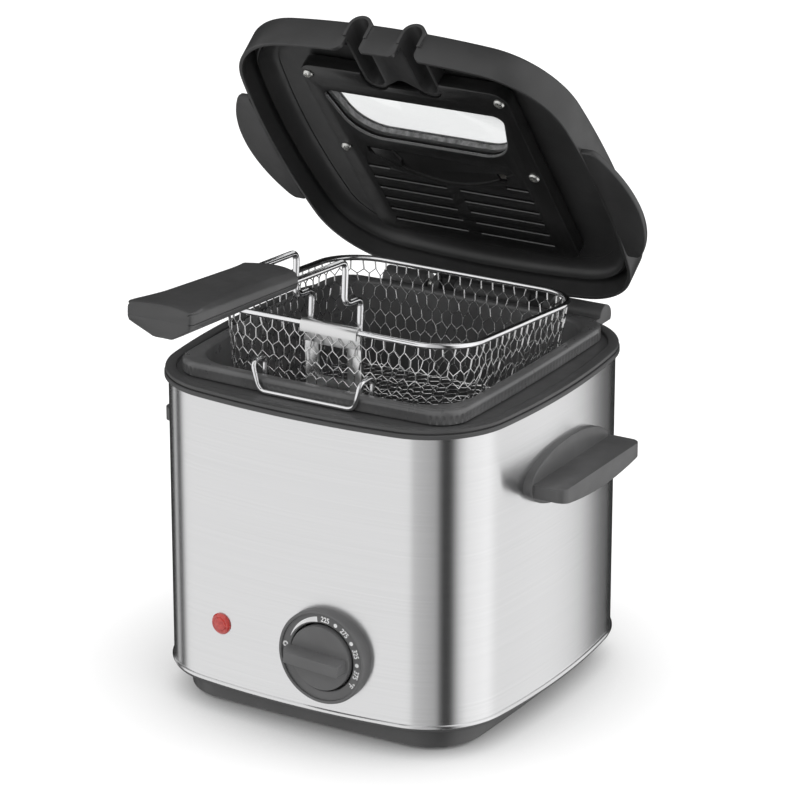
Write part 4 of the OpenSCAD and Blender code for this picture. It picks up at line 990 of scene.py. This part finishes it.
def side_handle():
    ellipse = [(PLATE_HALF * x, PLATE_RISE * y) for x, y in circle(1)]
    plate = prism("plate", ellipse, BODY_HALF - 6, BODY_HALF + PLATE_OUT)
    moved(plate, Matrix(((0, 0, 1, 0), (1, 0, 0, HANDLE_Y - 2), (0, 1, 0, SHELF_TOP - 2), (0, 0, 0, 1))))
    soft_edges(outward(plate), 0.5, 3)
    r, half, edge = 5, SHELF_HALF, BODY_HALF + SHELF_REACH
    plan = [(BODY_HALF - 4, -half), (BODY_HALF - 4, half)]
    plan += arc(edge - r, half - r, r, 90, 0, 10) + arc(edge - r, r - half, r, 0, -90, 10)
    shelf = prism("shelf", [(x, y + HANDLE_Y) for x, y in plan][::-1], SHELF_TOP - 14, SHELF_TOP)
    under = [(y + HANDLE_Y, SHELF_TOP - SHELF_T - 4 * (1 - (y / (SHELF_HALF + 1)) ** 2))
             for y in np.linspace(-48, 48, 41)]
    scoop = prism("scoop", under + [(60, SHELF_TOP - 30), (-50, SHELF_TOP - 30)], BODY_HALF - 8, BODY_HALF + 30)
    moved(scoop, SIDEWAYS)
    cut(outward(shelf), outward(scoop))
    soft_edges(shelf, 0.5, 3)
    return joined("handle", plate, shelf)


def make_handles():
    right = side_handle()
    left = right.copy()
    left.data = right.data.copy()
    bpy.context.scene.collection.objects.link(left)
    left.data.transform(Matrix.Scale(-1, 4, (1, 0, 0)))
    outward(left)
    for obj, side in ((right, "right"), (left, "left")):
        obj.name = f"{side}_handle_moulding"
        piece(obj, "root", HANDLE_PLASTIC, [f"{side}_handle"])


# ---- lid, drawn shut and then swung open ----

LID_OPEN = (Matrix.Translation((0, HINGE_Y, HINGE_Z)) @ Matrix.Rotation(math.radians(-OPEN_ANGLE), 4, "X")
            @ Matrix.Translation((0, -HINGE_Y, -HINGE_Z)))


def lid_piece(obj, material, stands_for, angle=35):
    return piece(moved(obj, LID_OPEN), "lid", material, stands_for, angle)


def dome_z(s):
    """Height of the dome's outer face over the lid's outline scaled by s."""
    return SKIRT_TOP + DOME_H * (1 - s ** 2.2)


def window_outline(grow):
    """Small corners at the front, wide ones at the back."""
    half, front, depth, rear_half = 53, -51, 41.5, 46
    fr, rr = 8, 22
    fx, fy = half - fr, front + fr
    rx, ry = rear_half - rr + 4, front + depth - rr
    length = math.dist((fx, fy), (rx, ry))
    a = math.degrees(math.atan2(ry - fy, rx - fx)) - 90 + math.degrees(math.asin((fr - rr) / length))
    return (arc(fx, fy, fr + grow, -90, a, 12) + arc(rx, ry, rr + grow, a, 90, 20)
            + arc(-rx, ry, rr + grow, 90, 180 - a, 20) + arc(-fx, fy, fr + grow, 180 - a, 270, 12))


TUNNEL_X = WIRE_X + 1.2
TUNNEL_HALF = 4.9
TUNNEL_TOP = SKIRT_TOP - 3
TUNNEL_WALL = 1.6
TUNNEL_BACK = -58


def tunnel(side, half, y0, y1, z0, round_end):
    """Arch-shaped passage along Y, with a rounded inner end if asked."""
    section = [(half, z0), *arc(0, TUNNEL_TOP, half, 0, 180, 16), (-half, z0)]
    rings = [[(side * TUNNEL_X + x, y0, z) for x, z in section]]
    if round_end:
        for a in np.radians(np.linspace(0, 80, 7)):
            k = math.cos(a)
            rings.append([(side * TUNNEL_X + x * k, y1 - half + half * math.sin(a),
                           z if z <= TUNNEL_TOP else TUNNEL_TOP + (z - TUNNEL_TOP) * k) for x, z in section])
    else:
        rings.append([(side * TUNNEL_X + x, y1, z) for x, z in section])
    return loft("tunnel", rings)


EAR_LEN = 84
EAR_OUT = 17
EAR_STEP = 5
EAR_Y = 2.5
EAR_T = 3.2


def lid_ear(side):
    """Wing along the lid's side; its ends stand out by a rounded step."""
    rise = EAR_OUT - EAR_STEP
    r = (EAR_LEN ** 2 / 4 + rise ** 2) / (2 * rise)
    half_angle = math.degrees(math.asin(EAR_LEN / 2 / r))
    edge = arc(LID_HALF + EAR_OUT - r, EAR_Y, r, -half_angle + 1.8, half_angle - 1.8, 48)
    corner_y = EAR_LEN / 2
    edge += [(LID_HALF + EAR_STEP - 0.9, EAR_Y + corner_y - 0.25), (LID_HALF + EAR_STEP - 2, EAR_Y + corner_y)]
    edge += [(LID_HALF - 2, EAR_Y + corner_y), (LID_HALF - 2, EAR_Y - corner_y)]
    edge += [(LID_HALF + EAR_STEP - 2, EAR_Y - corner_y), (LID_HALF + EAR_STEP - 0.9, EAR_Y - corner_y + 0.25)]
    ear = prism("ear", edge, LID_LOW, LID_LOW + EAR_T)
    if side < 0:
        ear.data.transform(Matrix.Scale(-1, 4, (1, 0, 0)))
    return soft_edges(outward(ear), 0.8, 3)


def knuckle(side):
    section = arc(HINGE_Y, HINGE_Z, BARREL_R, -90, 140, 30)
    section += [(LID_HALF - 2, LID_LOW + 9), (LID_HALF - 2, LID_LOW + 0.2), (LID_HALF + 1, LID_LOW + 0.2)]
    x = side * KNUCKLE_X
    body = outward(moved(prism("knuckle", section, x - KNUCKLE_HALF, x + KNUCKLE_HALF), SIDEWAYS))
    return soft_edges(cut(body, hinge_rod(x - 6, x + 6, PIN_HOLE_R)), 0.5)


def tunnel_block():
    """Outline in plan of the two tunnels' walls and the web between them."""
    wall = TUNNEL_HALF + TUNNEL_WALL
    centre_y = TUNNEL_BACK - wall + 1.6
    right = arc(TUNNEL_X, centre_y, wall, 0, 125, 16)
    left = [(-x, y) for x, y in right[::-1]]
    web = arc(0, TUNNEL_BACK - 1.5, 5, -55, -125, 10)
    return [(TUNNEL_X + wall, -LID_HALF + 0.6)] + right + web + left + [(-TUNNEL_X - wall, -LID_HALF + 0.6)]


def mouth_corner(side, inner):
    """Cutter that rounds the skirt's lower corner beside a tunnel's mouth."""
    r = 3 if inner else 5
    x = TUNNEL_X - TUNNEL_HALF if inner else TUNNEL_X + TUNNEL_HALF
    way = -1 if inner else 1
    start = 180 if way > 0 else 0
    curve = arc(x + way * r, LID_LOW + r, r, start, start + 90 * way, 8)
    section = [(x - way, LID_LOW - 1), (x - way, LID_LOW + r), *curve, (x + way * r, LID_LOW - 1)]
    rings = [[(side * u, y, z) for u, z in section] for y in (-LID_HALF - 3, -LID_HALF + 5)]
    return loft("mouth_corner", rings)


def make_lid_shell():
    out, inn = lid_outline(0), lid_outline(LID_WALL)
    shares = [0.985, 0.965, 0.94, 0.9, 0.85, 0.78, 0.7, 0.6, 0.5, 0.4, 0.3, 0.2, 0.1, 0.03]
    inside = [lift(inn, dome_z(s) - LID_WALL, s) for s in shares[::-1]]
    inside += [lift(inn, SKIRT_TOP - LID_WALL - 0.6), lift(inn, LID_LOW + 0.4),
               lift(lid_outline(LID_WALL - 0.4), LID_LOW)]
    outside = [lift(lid_outline(0.4), LID_LOW), lift(out, LID_LOW + 0.4), lift(out, SKIRT_TOP - 1.6),
               lift(lid_outline(0.35), SKIRT_TOP - 0.7), lift(lid_outline(0.8), SKIRT_TOP - 0.2)]
    outside += [lift(out, dome_z(s), s) for s in shares]
    shell = loft("lid_moulding", inside + outside)

    rib = [(5.4, POT_TOP + 3.4), (5.8, POT_TOP + 3), (6.6, POT_TOP + 3), (7.0, POT_TOP + 3.4),
           (7.0, SKIRT_TOP - 0.8), (5.4, SKIRT_TOP - 0.8)]
    rib_ring = around("rib", [(lid_outline(d), z) for d, z in rib])
    roof = SKIRT_TOP - LID_WALL
    hollow = [(6.8 + 8 * (1 - math.cos(a)), roof - 7 + 7.2 * math.sin(a)) for a in np.radians(range(0, 91, 10))]
    hollow += [(14.8, SKIRT_TOP - 0.8), (6.8, SKIRT_TOP - 0.8)]
    hollow_ring = around("hollow", [(lid_outline(d), z) for d, z in hollow])
    tubes = [tunnel(side, TUNNEL_HALF + TUNNEL_WALL, -LID_HALF - 0.6, TUNNEL_BACK + 2, POT_TOP + 1.8, True)
             for side in (-1, 1)]
    walls = prism("tunnel_walls", tunnel_block(), POT_TOP + 1.8, roof + 1)
    surround = around("surround", [(window_outline(d), z) for d, z in
                                   [(2, SEAT_Z - 1.6), (2, SKIRT_TOP + 0.5), (-PANE_EDGE, SKIRT_TOP + 0.5),
                                    (-PANE_EDGE, SEAT_Z - 1.6)]])
    weld(shell, rib_ring, hollow_ring, *tubes, walls, surround)
    bores = [tunnel(side, TUNNEL_HALF, -LID_HALF - 6, TUNNEL_BACK, LID_LOW - 3, True) for side in (-1, 1)]
    cut(shell, *bores)
    cut(shell, *[mouth_corner(side, inner) for side in (-1, 1) for inner in (False, True)])
    cut(shell, prism("pane_seat", window_outline(0), SEAT_Z, SKIRT_TOP + 30),
        prism("opening", window_outline(-PANE_EDGE), LID_LOW, SKIRT_TOP + 30))
    for i in range(5):
        cut(shell, prism("slot", [(x, y + 21.2 + 7 * i) for x, y in round_rect(52, 2.4, 1.15, 6)],
                         SKIRT_TOP - 3, SKIRT_TOP + 30))
    soft_edges(shell, 0.45, 2, 40)
    shell = joined("lid_moulding", shell, lid_ear(-1), lid_ear(1), knuckle(-1), knuckle(1))
    lid_piece(shell, LID_PLASTIC, ["lid_shell"])


LINER_W = 116
LINER_FRONT = -67
LINER_BACK = 67
LINER_R = 8
VENT_X = 24.75
VENT_Y = 20.2
VENT_PITCH = 9


def make_liner():
    depth, middle = LINER_BACK - LINER_FRONT, (LINER_BACK + LINER_FRONT) / 2

    def outline(d):
        return [(x, y + middle) for x, y in round_rect(LINER_W - 2 * d, depth - 2 * d, LINER_R - min(d, 6))]

    plate = around("plate", [(outline(d), LINER_Z + z) for d, z in
                             [(0, 7), (0, 0.6), (0.2, 0.2), (0.6, 0), (12, 0), (12, LINER_T), (2.4, LINER_T),
                              (1.6, LINER_T + 1), (1.6, 7)]])
    liner = weld(plate, prism("sheet", outline(10), LINER_Z, LINER_Z + LINER_T))
    cut(liner, prism("opening", window_outline(-PANE_EDGE), LINER_Z - 1, LINER_Z + 30))
    cut(liner, tunnel_notch())
    # Shallow recess behind the window, with a tab at its left and a hole at its right
    bow = [(x, -3 + 19 * math.cos(math.pi * x / 90)) for x in np.linspace(41, -41, 33)]
    recess = prism("recess", [(-41, -5), (41, -5)] + bow, LINER_Z - 1, LINER_Z + 1.2)
    cut(liner, outward(recess))
    tab = prism("tab", [(-39, -4), (-27, -4), (-24, 3.5), (-25.5, 8.5), (-38, 1.5)], LINER_Z + 0.1, LINER_Z + 1.5)
    weld(liner, outward(tab))
    cut(liner, prism("hole", [(30, 3), (34, 1.5), (36.5, 4), (34.5, 7), (31, 7.5)], LINER_Z - 1, LINER_Z + 4))
    for side in (-1, 1):
        for row in range(5):
            slot = [(x + side * VENT_X, y + VENT_Y + VENT_PITCH * row)
                    for x, y in round_rect(42.5, 2, 0.95, 6)]
            cut(liner, prism("slot", slot, LINER_Z - 1, LINER_Z + 4))
        short = [(x + side * 39.5, y + VENT_Y - VENT_PITCH) for x, y in round_rect(13, 2, 0.95, 6)]
        cut(liner, prism("slot", short, LINER_Z - 1, LINER_Z + 4))
    cut(liner, block("catch", -12, 8, LINER_BACK - 1.6, LINER_BACK + 1, LINER_Z + 0.8, LINER_Z + 9))
    soft_edges(liner, 0.35, 2, 40)
    lid_piece(liner, SHADED_LINER_PLASTIC, ["lid_liner"])
    # Painted highlights on the vent edges and the window's opening
    make_painted_highlights()


def make_painted_highlights():
    """Paler strips along the vents' edges and the window's opening: painted highlights where those edges catch the
    light.
    """
    edges = []
    for side in (-1, 1):
        for row in range(5):
            y = VENT_Y + 1 + VENT_PITCH * row
            path = [(side * (VENT_X + x), y, LINER_Z - 0.1) for x in (-21, 21)]
            edges.append(tube("edge", path, 0.32, 8, ends=0.4))
        edges.append(tube("edge", [(side * x, 12.2, LINER_Z - 0.1) for x in (33.5, 45.5)], 0.32, 8, ends=0.4))
    back = [(x, y) for x, y in window_outline(-PANE_EDGE - 0.1) if y > -44]
    back.sort(key=lambda p: math.atan2(p[0], p[1] + 40))
    edges.append(tube("edge", [(x, y, LINER_Z + 0.9) for x, y in back], 0.75, 10, ends=0.4))
    lid_piece(joined("liner_worn_edges", *edges), HIGHLIGHT_PLASTIC, ())


def tunnel_notch():
    reach = TUNNEL_X + TUNNEL_HALF + TUNNEL_WALL + 0.6
    half = TUNNEL_HALF + TUNNEL_WALL + 0.6
    y_end = TUNNEL_BACK + 2.6
    outline = [(reach, -80)] + arc(TUNNEL_X, y_end - half, half, 0, 150, 14)
    outline += arc(-TUNNEL_X, y_end - half, half, 30, 180, 14) + [(-reach, -80)]
    return prism("notch", outline, LINER_Z - 1, LINER_Z + 10)


def make_window():
    pane = prism("window_pane", window_outline(-1.3), PANE_Z, PANE_Z + PANE_T)
    lid_piece(soft_edges(pane, 0.3, 2), PANE, ["lid_window"])
    lip = PANE_Z + PANE_T + 1.2
    seal = around("window_seal", [(window_outline(d), z) for d, z in [
        (-0.2, SEAT_Z + 0.1), (-0.2, lip - 0.5), (-0.7, lip), (-2.0, lip), (-2.5, lip - 0.5),
        (-2.5, PANE_Z + PANE_T + 0.1), (-1.2, PANE_Z + PANE_T + 0.1), (-1.2, PANE_Z - 0.1),
        (-2.5, PANE_Z - 0.1), (-2.5, SEAT_Z + 0.1)]])
    lid_piece(seal, GASKET, ["window_gasket"])


# ---- repeated and path-following shapes, made with Geometry Nodes ----

def node_tree(name, inputs):
    """An empty tree that takes and gives a geometry, and takes these inputs too."""
    tree = bpy.data.node_groups.new(name, "GeometryNodeTree")
    face = tree.interface
    for label, kind in (("Geometry", "Geometry"), *inputs):
        face.new_socket(label, in_out="INPUT", socket_type="NodeSocket" + kind)
    face.new_socket("Geometry", in_out="OUTPUT", socket_type="NodeSocketGeometry")
    return tree, tree.nodes.new("NodeGroupInput"), tree.nodes.new("NodeGroupOutput")


def finish_tree(tree, start, shape, end):
    """Makes the shape's copies real, paints them and hands them on."""
    real = tree.nodes.new("GeometryNodeRealizeInstances")
    paint = tree.nodes.new("GeometryNodeSetMaterial")
    tree.links.new(shape, real.inputs["Geometry"])
    tree.links.new(real.outputs["Geometry"], paint.inputs["Geometry"])
    tree.links.new(start.outputs["Finish"], paint.inputs["Material"])
    tree.links.new(paint.outputs["Geometry"], end.inputs["Geometry"])
    return tree


def wire_tree():
    """Turns the edges of a mesh into round wires of one radius."""
    tree, start, end = node_tree("wires_from_edges",
                                 (("Radius", "Float"), ("Sides", "Int"), ("Finish", "Material")))
    add, link = tree.nodes.new, tree.links.new
    curves, profile = add("GeometryNodeMeshToCurve"), add("GeometryNodeCurvePrimitiveCircle")
    sweep = add("GeometryNodeCurveToMesh")
    sweep.inputs["Fill Caps"].default_value = True
    link(start.outputs["Geometry"], curves.inputs["Mesh"])
    link(start.outputs["Radius"], profile.inputs["Radius"])
    link(start.outputs["Sides"], profile.inputs["Resolution"])
    link(curves.outputs["Curve"], sweep.inputs["Curve"])
    link(profile.outputs["Curve"], sweep.inputs["Profile Curve"])
    return finish_tree(tree, start, sweep.outputs["Mesh"], end)


def scatter_tree():
    """Sets a copy of one shape at each point of a mesh."""
    tree, start, end = node_tree("copies_at_points", (("Shape", "Object"), ("Finish", "Material")))
    add, link = tree.nodes.new, tree.links.new
    shape, copies_node = add("GeometryNodeObjectInfo"), add("GeometryNodeInstanceOnPoints")
    link(start.outputs["Geometry"], copies_node.inputs["Points"])
    link(start.outputs["Shape"], shape.inputs["Object"])
    link(shape.outputs["Geometry"], copies_node.inputs["Instance"])
    return finish_tree(tree, start, copies_node.outputs["Instances"], end)


WIRES = wire_tree()
COPIES = scatter_tree()


def with_nodes(obj, tree, **values):
    modifier = obj.modifiers.new("build", "NODES")
    modifier.node_group = tree
    for item in tree.interface.items_tree:
        if item.item_type == "SOCKET" and item.in_out == "INPUT" and item.name in values:
            modifier[item.identifier] = values[item.name]
    return apply_modifiers(obj)


def edge_mesh(name, points, edges):
    mesh = bpy.data.meshes.new(name)
    mesh.from_pydata([tuple(c * MM for c in p) for p in points], edges, [])
    obj = bpy.data.objects.new(name, mesh)
    bpy.context.scene.collection.objects.link(obj)
    return obj


def cross_screw(head_r, head_h):
    head = lathe("screw", [(0, 0), (head_r, 0), (head_r, head_h * 0.35), (head_r * 0.8, head_h * 0.8),
                           (head_r * 0.4, head_h), (0, head_h)], 32)
    half = head_r * 0.62
    for turn in (0, 90):
        slot = placed(block("slot", -half, half, -0.35, 0.35, head_h * 0.35, head_h + 1), turn=turn, axis="Z")
        cut(head, slot)
    return soft_edges(head, 0.12, 2, 30)


def copies(name, shape, points, finish):
    """Copies of a shape, drawn at the origin, at these points."""
    obj = edge_mesh(name, points, [])
    with_nodes(obj, COPIES, Shape=shape, Finish=finish)
    bpy.data.objects.remove(shape)
    return obj


def make_lid_screws():
    head = moved(cross_screw(2.8, 1.8), Matrix.Rotation(math.pi, 4, "X"))
    seats = [(x, y, LINER_Z) for x in (-53.4, 53.4) for y in (-60.5, -2)]
    lid_piece(copies("lid_screw_heads", head, seats, SCREW), SCREW, ["lid_screws"])


# ---- basket, drawn level about the middle of its rim ----

BASKET = (Matrix.Translation((0, BASKET_Y, BASKET_Z)) @ Matrix.Rotation(math.radians(-BASKET_LEAN), 4, "X"))
NET_LEAN = math.degrees(math.atan(BASKET_TAPER / BASKET_H))
PLATE_Y = FRONT_Y + RIM_WIRE_R + 0.1
PLATE_T = 1
WIRE_IN_Y = PLATE_Y + (PLATE_T + WIRE_R + 0.2) / math.cos(math.radians(NET_LEAN))
WIRE_STEP_Z = 16
WIRE_TOP_Z = 37.2
WIRE_SLOPE = -0.5
WIRE_OUT_Y = -74.9
GRIP_START = -113.7


def basket_piece(obj, material, stands_for, angle=35):
    return piece(moved(obj, BASKET), "basket", material, stands_for, angle)


def make_basket_rim():
    rim = tube("rim_wire", lift(round_rect(BASKET_W, BASKET_D, BASKET_R, 20), 0), RIM_WIRE_R, 20, closed=True)
    basket_piece(rim, WIRE, ["basket_rim"])


def wall_length(k):
    return 2 * (BASKET_W - 2 * k + BASKET_D - 2 * k) - 8 * (BASKET_R - 0.6 * k) * (1 - math.pi / 4)


def wall_point(share, drop):
    """Point on the basket's wall: a share of the way round, and a distance below the rim."""
    k = drop / BASKET_H * BASKET_TAPER
    fillet = 5.0
    inward = 0.0
    z = -drop
    if drop > BASKET_H - fillet:
        a = min((drop - (BASKET_H - fillet)) / fillet, 1.0) * math.pi / 2
        inward = fillet * (1 - math.cos(a))
        z = -(BASKET_H - fillet) - fillet * math.sin(a)
    w, d = BASKET_W - 2 * (k + inward), BASKET_D - 2 * (k + inward)
    r = BASKET_R - 0.6 * k - 0.5 * inward
    straight_w, straight_d, quarter = w - 2 * r, d - 2 * r, math.pi * r / 2
    x, y = straight_w / 2, straight_d / 2
    total = 2 * (straight_w + straight_d) + 4 * quarter
    s = share % 1.0 * total
    for length, start, heading, centre in (
            (straight_w, (-x, -d / 2), (1, 0), None), (quarter, None, -90, (x, -y)),
            (straight_d, (w / 2, -y), (0, 1), None), (quarter, None, 0, (x, y)),
            (straight_w, (x, d / 2), (-1, 0), None), (quarter, None, 90, (-x, y)),
            (straight_d, (-w / 2, y), (0, -1), None), (quarter, None, 180, (-x, -y))):
        if s <= length:
            break
        s -= length
    if centre is None:
        return (start[0] + heading[0] * s, start[1] + heading[1] * s, z)
    a = math.radians(heading) + s / r
    return (centre[0] + r * math.cos(a), centre[1] + r * math.sin(a), z)


def hex_net(place, columns, rows, row_h, wraps):
    """Points and edges of a hexagonal net; place(u, v) sets a point, u in columns and v in length."""
    points, index, upright, slanted = [], {}, [], []
    hand = np.random.default_rng(NET_SEED)

    def point(u, v):
        key = (round(u * 2) % (2 * columns) if wraps else round(u * 2), round(v * 100))
        if key not in index:
            uneven = hand.uniform(-1, 1, 2)
            p = place(u + 0.09 * uneven[0], max(v + 0.55 * uneven[1], 0) if v else 0)
            if p is None:
                return None
            index[key] = len(points)
            points.append(p)
        return index[key]

    for row in range(rows):
        shift = 0.5 * (row % 2)
        for column in range(columns):
            u = column + shift
            v = row * row_h
            top, foot = point(u, v), point(u, v + row_h * NET_TWIST)
            left, right = point(u - 0.5, v + row_h), point(u + 0.5, v + row_h)
            if top is not None and foot is not None:
                upright.append((top, foot))
            if foot is not None and left is not None:
                slanted.append((foot, left))
            if foot is not None and right is not None:
                slanted.append((foot, right))
    return points, upright, slanted


NET_PITCH = 6.2
NET_ROW = 7.0
NET_TWIST = 0.56
NET_R = 0.32
NET_SEED = 5
FLOOR_COLUMNS = 25
FLOOR_ROWS = 17


def make_net():
    columns = round(wall_length(0) / NET_PITCH)
    wall_h = BASKET_H - RIM_WIRE_R
    rows = round((wall_h + 2.5) / NET_ROW)
    row_h = (wall_h + 2.0) / rows
    points, upright, slanted = hex_net(
        lambda u, v: wall_point(u / columns, RIM_WIRE_R + min(v, wall_h)), columns, rows, row_h, True)
    floor_w = BASKET_W - 2 * BASKET_TAPER - 9
    floor_d = BASKET_D - 2 * BASKET_TAPER - 9
    corner = BASKET_R - 5

    def floor_point(u, v):
        x, y = (u - FLOOR_COLUMNS // 2) * NET_PITCH, v - floor_d / 2 - 3
        dx = max(abs(x) - (floor_w / 2 - corner), 0)
        dy = max(abs(y) - (floor_d / 2 - corner), 0)
        if math.hypot(dx, dy) > corner + 1.0 or abs(x) > floor_w / 2 + 1 or abs(y) > floor_d / 2 + 1:
            return None
        return (x, y, -BASKET_H)

    floor_points, floor_upright, floor_slanted = hex_net(
        floor_point, FLOOR_COLUMNS, FLOOR_ROWS, NET_ROW, False)
    base = len(points)
    points += floor_points
    upright += [(a + base, b + base) for a, b in floor_upright]
    slanted += [(a + base, b + base) for a, b in floor_slanted]
    wires = [with_nodes(edge_mesh("net", points, edges), WIRES, Radius=r * MM, Sides=sides, Finish=NET)
             for edges, r, sides in ((upright, NET_R * 1.35, 6), (slanted, NET_R, 5))]
    basket_piece(joined("basket_netting", *wires), NET, ["basket_net"], angle=80)


def make_bracket():
    band_half = WIRE_X + WIRE_R + 0.5
    band_h, lip_h, slot_half, drop = 9, 3.6, 8, 33
    wrap = [(FRONT_Y - RIM_WIRE_R - 1.1, -lip_h), (FRONT_Y - RIM_WIRE_R - 1.1, 0.3)]
    wrap += [(FRONT_Y + 2.6 * math.cos(a), 2.6 * math.sin(a)) for a in np.radians(np.linspace(175, 5, 12))]
    wrap += [(PLATE_Y + PLATE_T, -band_h), (PLATE_Y, -band_h)]
    wrap += [(FRONT_Y + 1.6 * math.cos(a), 1.6 * math.sin(a)) for a in np.radians(np.linspace(5, 175, 12))]
    wrap += [(FRONT_Y - RIM_WIRE_R - 0.1, -lip_h)]
    band = prism("band", wrap, -band_half, band_half)
    outward(moved(band, SIDEWAYS))
    plate = block("plate", -band_half, band_half, 0, PLATE_T, -drop, 0)
    cut(plate, block("slot", -slot_half, slot_half, -1, PLATE_T + 1, 7 - drop, -band_h - 1))
    tongue_half = (band_half - slot_half) / 2
    for x in (-slot_half - tongue_half, slot_half + tongue_half):
        weld(plate, block("tongue", x - tongue_half, x + tongue_half, -13.7, PLATE_T, -drop, PLATE_T - drop))
    placed(plate, y=PLATE_Y, turn=NET_LEAN)
    bracket = joined("bracket", soft_edges(band, 0.3, 2), soft_edges(plate, 0.3, 2))
    basket_piece(bracket, PLATE, ["bracket_plate"])


def slope_z(y):
    return WIRE_TOP_Z + (WIRE_OUT_Y - y) * math.tan(math.radians(WIRE_SLOPE))


def make_handle_wires():
    wires = []
    for x in (-WIRE_X, WIRE_X):
        inner = GRIP_START - 24
        drop = 31.2
        path = [(x, inner, slope_z(inner)), (x, WIRE_OUT_Y, WIRE_TOP_Z), (x, WIRE_OUT_Y, WIRE_STEP_Z),
                (x, WIRE_IN_Y, WIRE_STEP_Z), (x, WIRE_IN_Y, 0),
                (x, WIRE_IN_Y + drop * math.tan(math.radians(NET_LEAN)), -drop)]
        wires.append(tube("wire", rounded(path, 5, 8), WIRE_R, 20, ends=0.6))
    basket_piece(joined("handle_wire_pair", *wires), WIRE, ["handle_wires"])


GRIP_LEN = 99
GRIP_W = 35
GRIP_T = 16
GRIP_KEEL = 5


def grip_half_width(u):
    return GRIP_W / 2 * (0.94 + 0.06 * u * u)


def grip_ring(u, upper, shrink):
    """Section of one half of the grip; shrink pulls it in at a rounded end."""
    w = grip_half_width(u) - shrink
    if upper:
        h = GRIP_T * (0.29 + 0.1 * u) - shrink * 0.55
        bevel = 1.2 + 4.2 * math.sin(math.pi * min(u + 0.06, 1)) ** 0.8
        inner = w - bevel
        side = [(w, h - 2.4), (w - 0.25, h - 1.9), (w - 0.8, h - 1.5)]
        side += [(inner + 0.9, h - 0.45), (inner + 0.4, h - 0.25), (inner - 0.3, h - 0.12)]
        crown = [(inner * (1 - 2 * i / 10), h - 0.12 + 0.3 * (1 - (1 - 2 * i / 10) ** 2)) for i in range(1, 10)]
        section = [(w, 0.25)] + side + crown + [(-x, z) for x, z in side[::-1]]
        section += [(-w, 0.25), (0.3 - w, 0), (w - 0.3, 0)]
    else:
        h = -GRIP_T * (0.52 + 0.08 * u) + shrink * 0.6
        keel = min(GRIP_KEEL, w - 2)
        profile = [(w, -0.25), (w - 0.15, h * 0.14), (w - 0.7, h * 0.3)]
        profile += [(w - 0.7 - (w - 0.7 - keel) * t, h * (0.3 + 0.68 * t ** 0.9))
                    for t in (0.2, 0.45, 0.7, 0.9, 1.0)]
        profile += [(keel - 1.2, h)]
        section = profile + [(0, h)] + [(-x, z) for x, z in profile[::-1]] + [(0.3 - w, 0), (w - 0.3, 0)]
    hollow = 3.2 * max(0, (u - 0.8) / 0.2) ** 2
    bulge = 8.0 * max(0, (0.16 - u) / 0.16) ** 2
    return [(x, -GRIP_LEN * u + hollow * (1 - (x / w) ** 2) - bulge * (x / w) ** 2, z) for x, z in section]


def grip_half(name, upper):
    stations = [(0, 2.6), (0.006, 1.3), (0.016, 0.5), (0.035, 0.0)]
    stations += [(u, 0) for u in np.linspace(0.06, 0.97, 22)]
    stations += [(0.985, 0.25), (0.995, 0.8), (1.0, 1.5)]
    return loft(name, [grip_ring(u, upper, shrink) for u, shrink in stations])


GRIP = (Matrix.Translation((0, GRIP_START, slope_z(GRIP_START)))
        @ Matrix.Rotation(math.radians(-WIRE_SLOPE), 4, "X"))


def make_grip():
    for name, upper, node in (("grip_top", True, "grip_upper"), ("grip_bottom", False, "grip_lower")):
        half = moved(grip_half(name, upper), GRIP)
        basket_piece(half, GRIP_PLASTIC, [node], angle=50)


def make_hook():
    x, out_y = 30, -POT_RIM_HALF - 1.4
    inner_y, top = -72.3, POT_TOP + 7.5
    bar_z = 166.6
    side = [(-x + 3.5, out_y, FLAT_Z + 1.4), (-x, out_y, top), (-x, inner_y + 2, top), (-x, inner_y, bar_z)]
    path = side + [(-px, y, z) for px, y, z in side[::-1]]
    hook = tube("rim_hook", rounded(path, 4, 8, closed=True), 1.2, 16, closed=True)
    piece(hook, "root", WIRE, ["drain_hook"])


# ---- the rest of the frame keeps its CAD shape and gets a finish ----

CAD_FINISHES = {
    "feet": RUBBER, "base_screws": SCREW, "standoffs": PLAIN_STEEL, "shield_screws": SCREW, "collar_screws": SCREW,
    "heating_element": SHEATH, "element_clamp": PLAIN_STEEL, "heat_shield": ALUMINISED, "thermostat": CERAMIC,
    "thermostat_shaft": PLAIN_STEEL, "sensor_bulb": COPPER, "thermal_cutout": CERAMIC, "terminal_block": CERAMIC,
    "wiring": JACKET, "cord_inlet": LID_PLASTIC, "inlet_pins": COPPER, "indicator_lamp": CERAMIC,
    "handle_screws": SCREW, "hinge_pin": SCREW, "hinge_spring": PLAIN_STEEL,
    "lid_filter": FELT, "grip_screws": SCREW,
}


def dress_cad():
    for node, finish in CAD_FINISHES.items():
        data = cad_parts[node].data
        data.materials.clear()
        data.materials.append(finish)
        data.set_sharp_from_angle(angle=math.radians(30))


make_housing()
make_tray()
make_collar()
make_pot()
make_dial()
make_scale()
make_knob()
make_lamp()
make_handles()
make_lid_shell()
make_liner()
make_window()
make_lid_screws()
make_basket_rim()
make_net()
make_bracket()
make_handle_wires()
make_grip()
make_hook()
dress_cad()
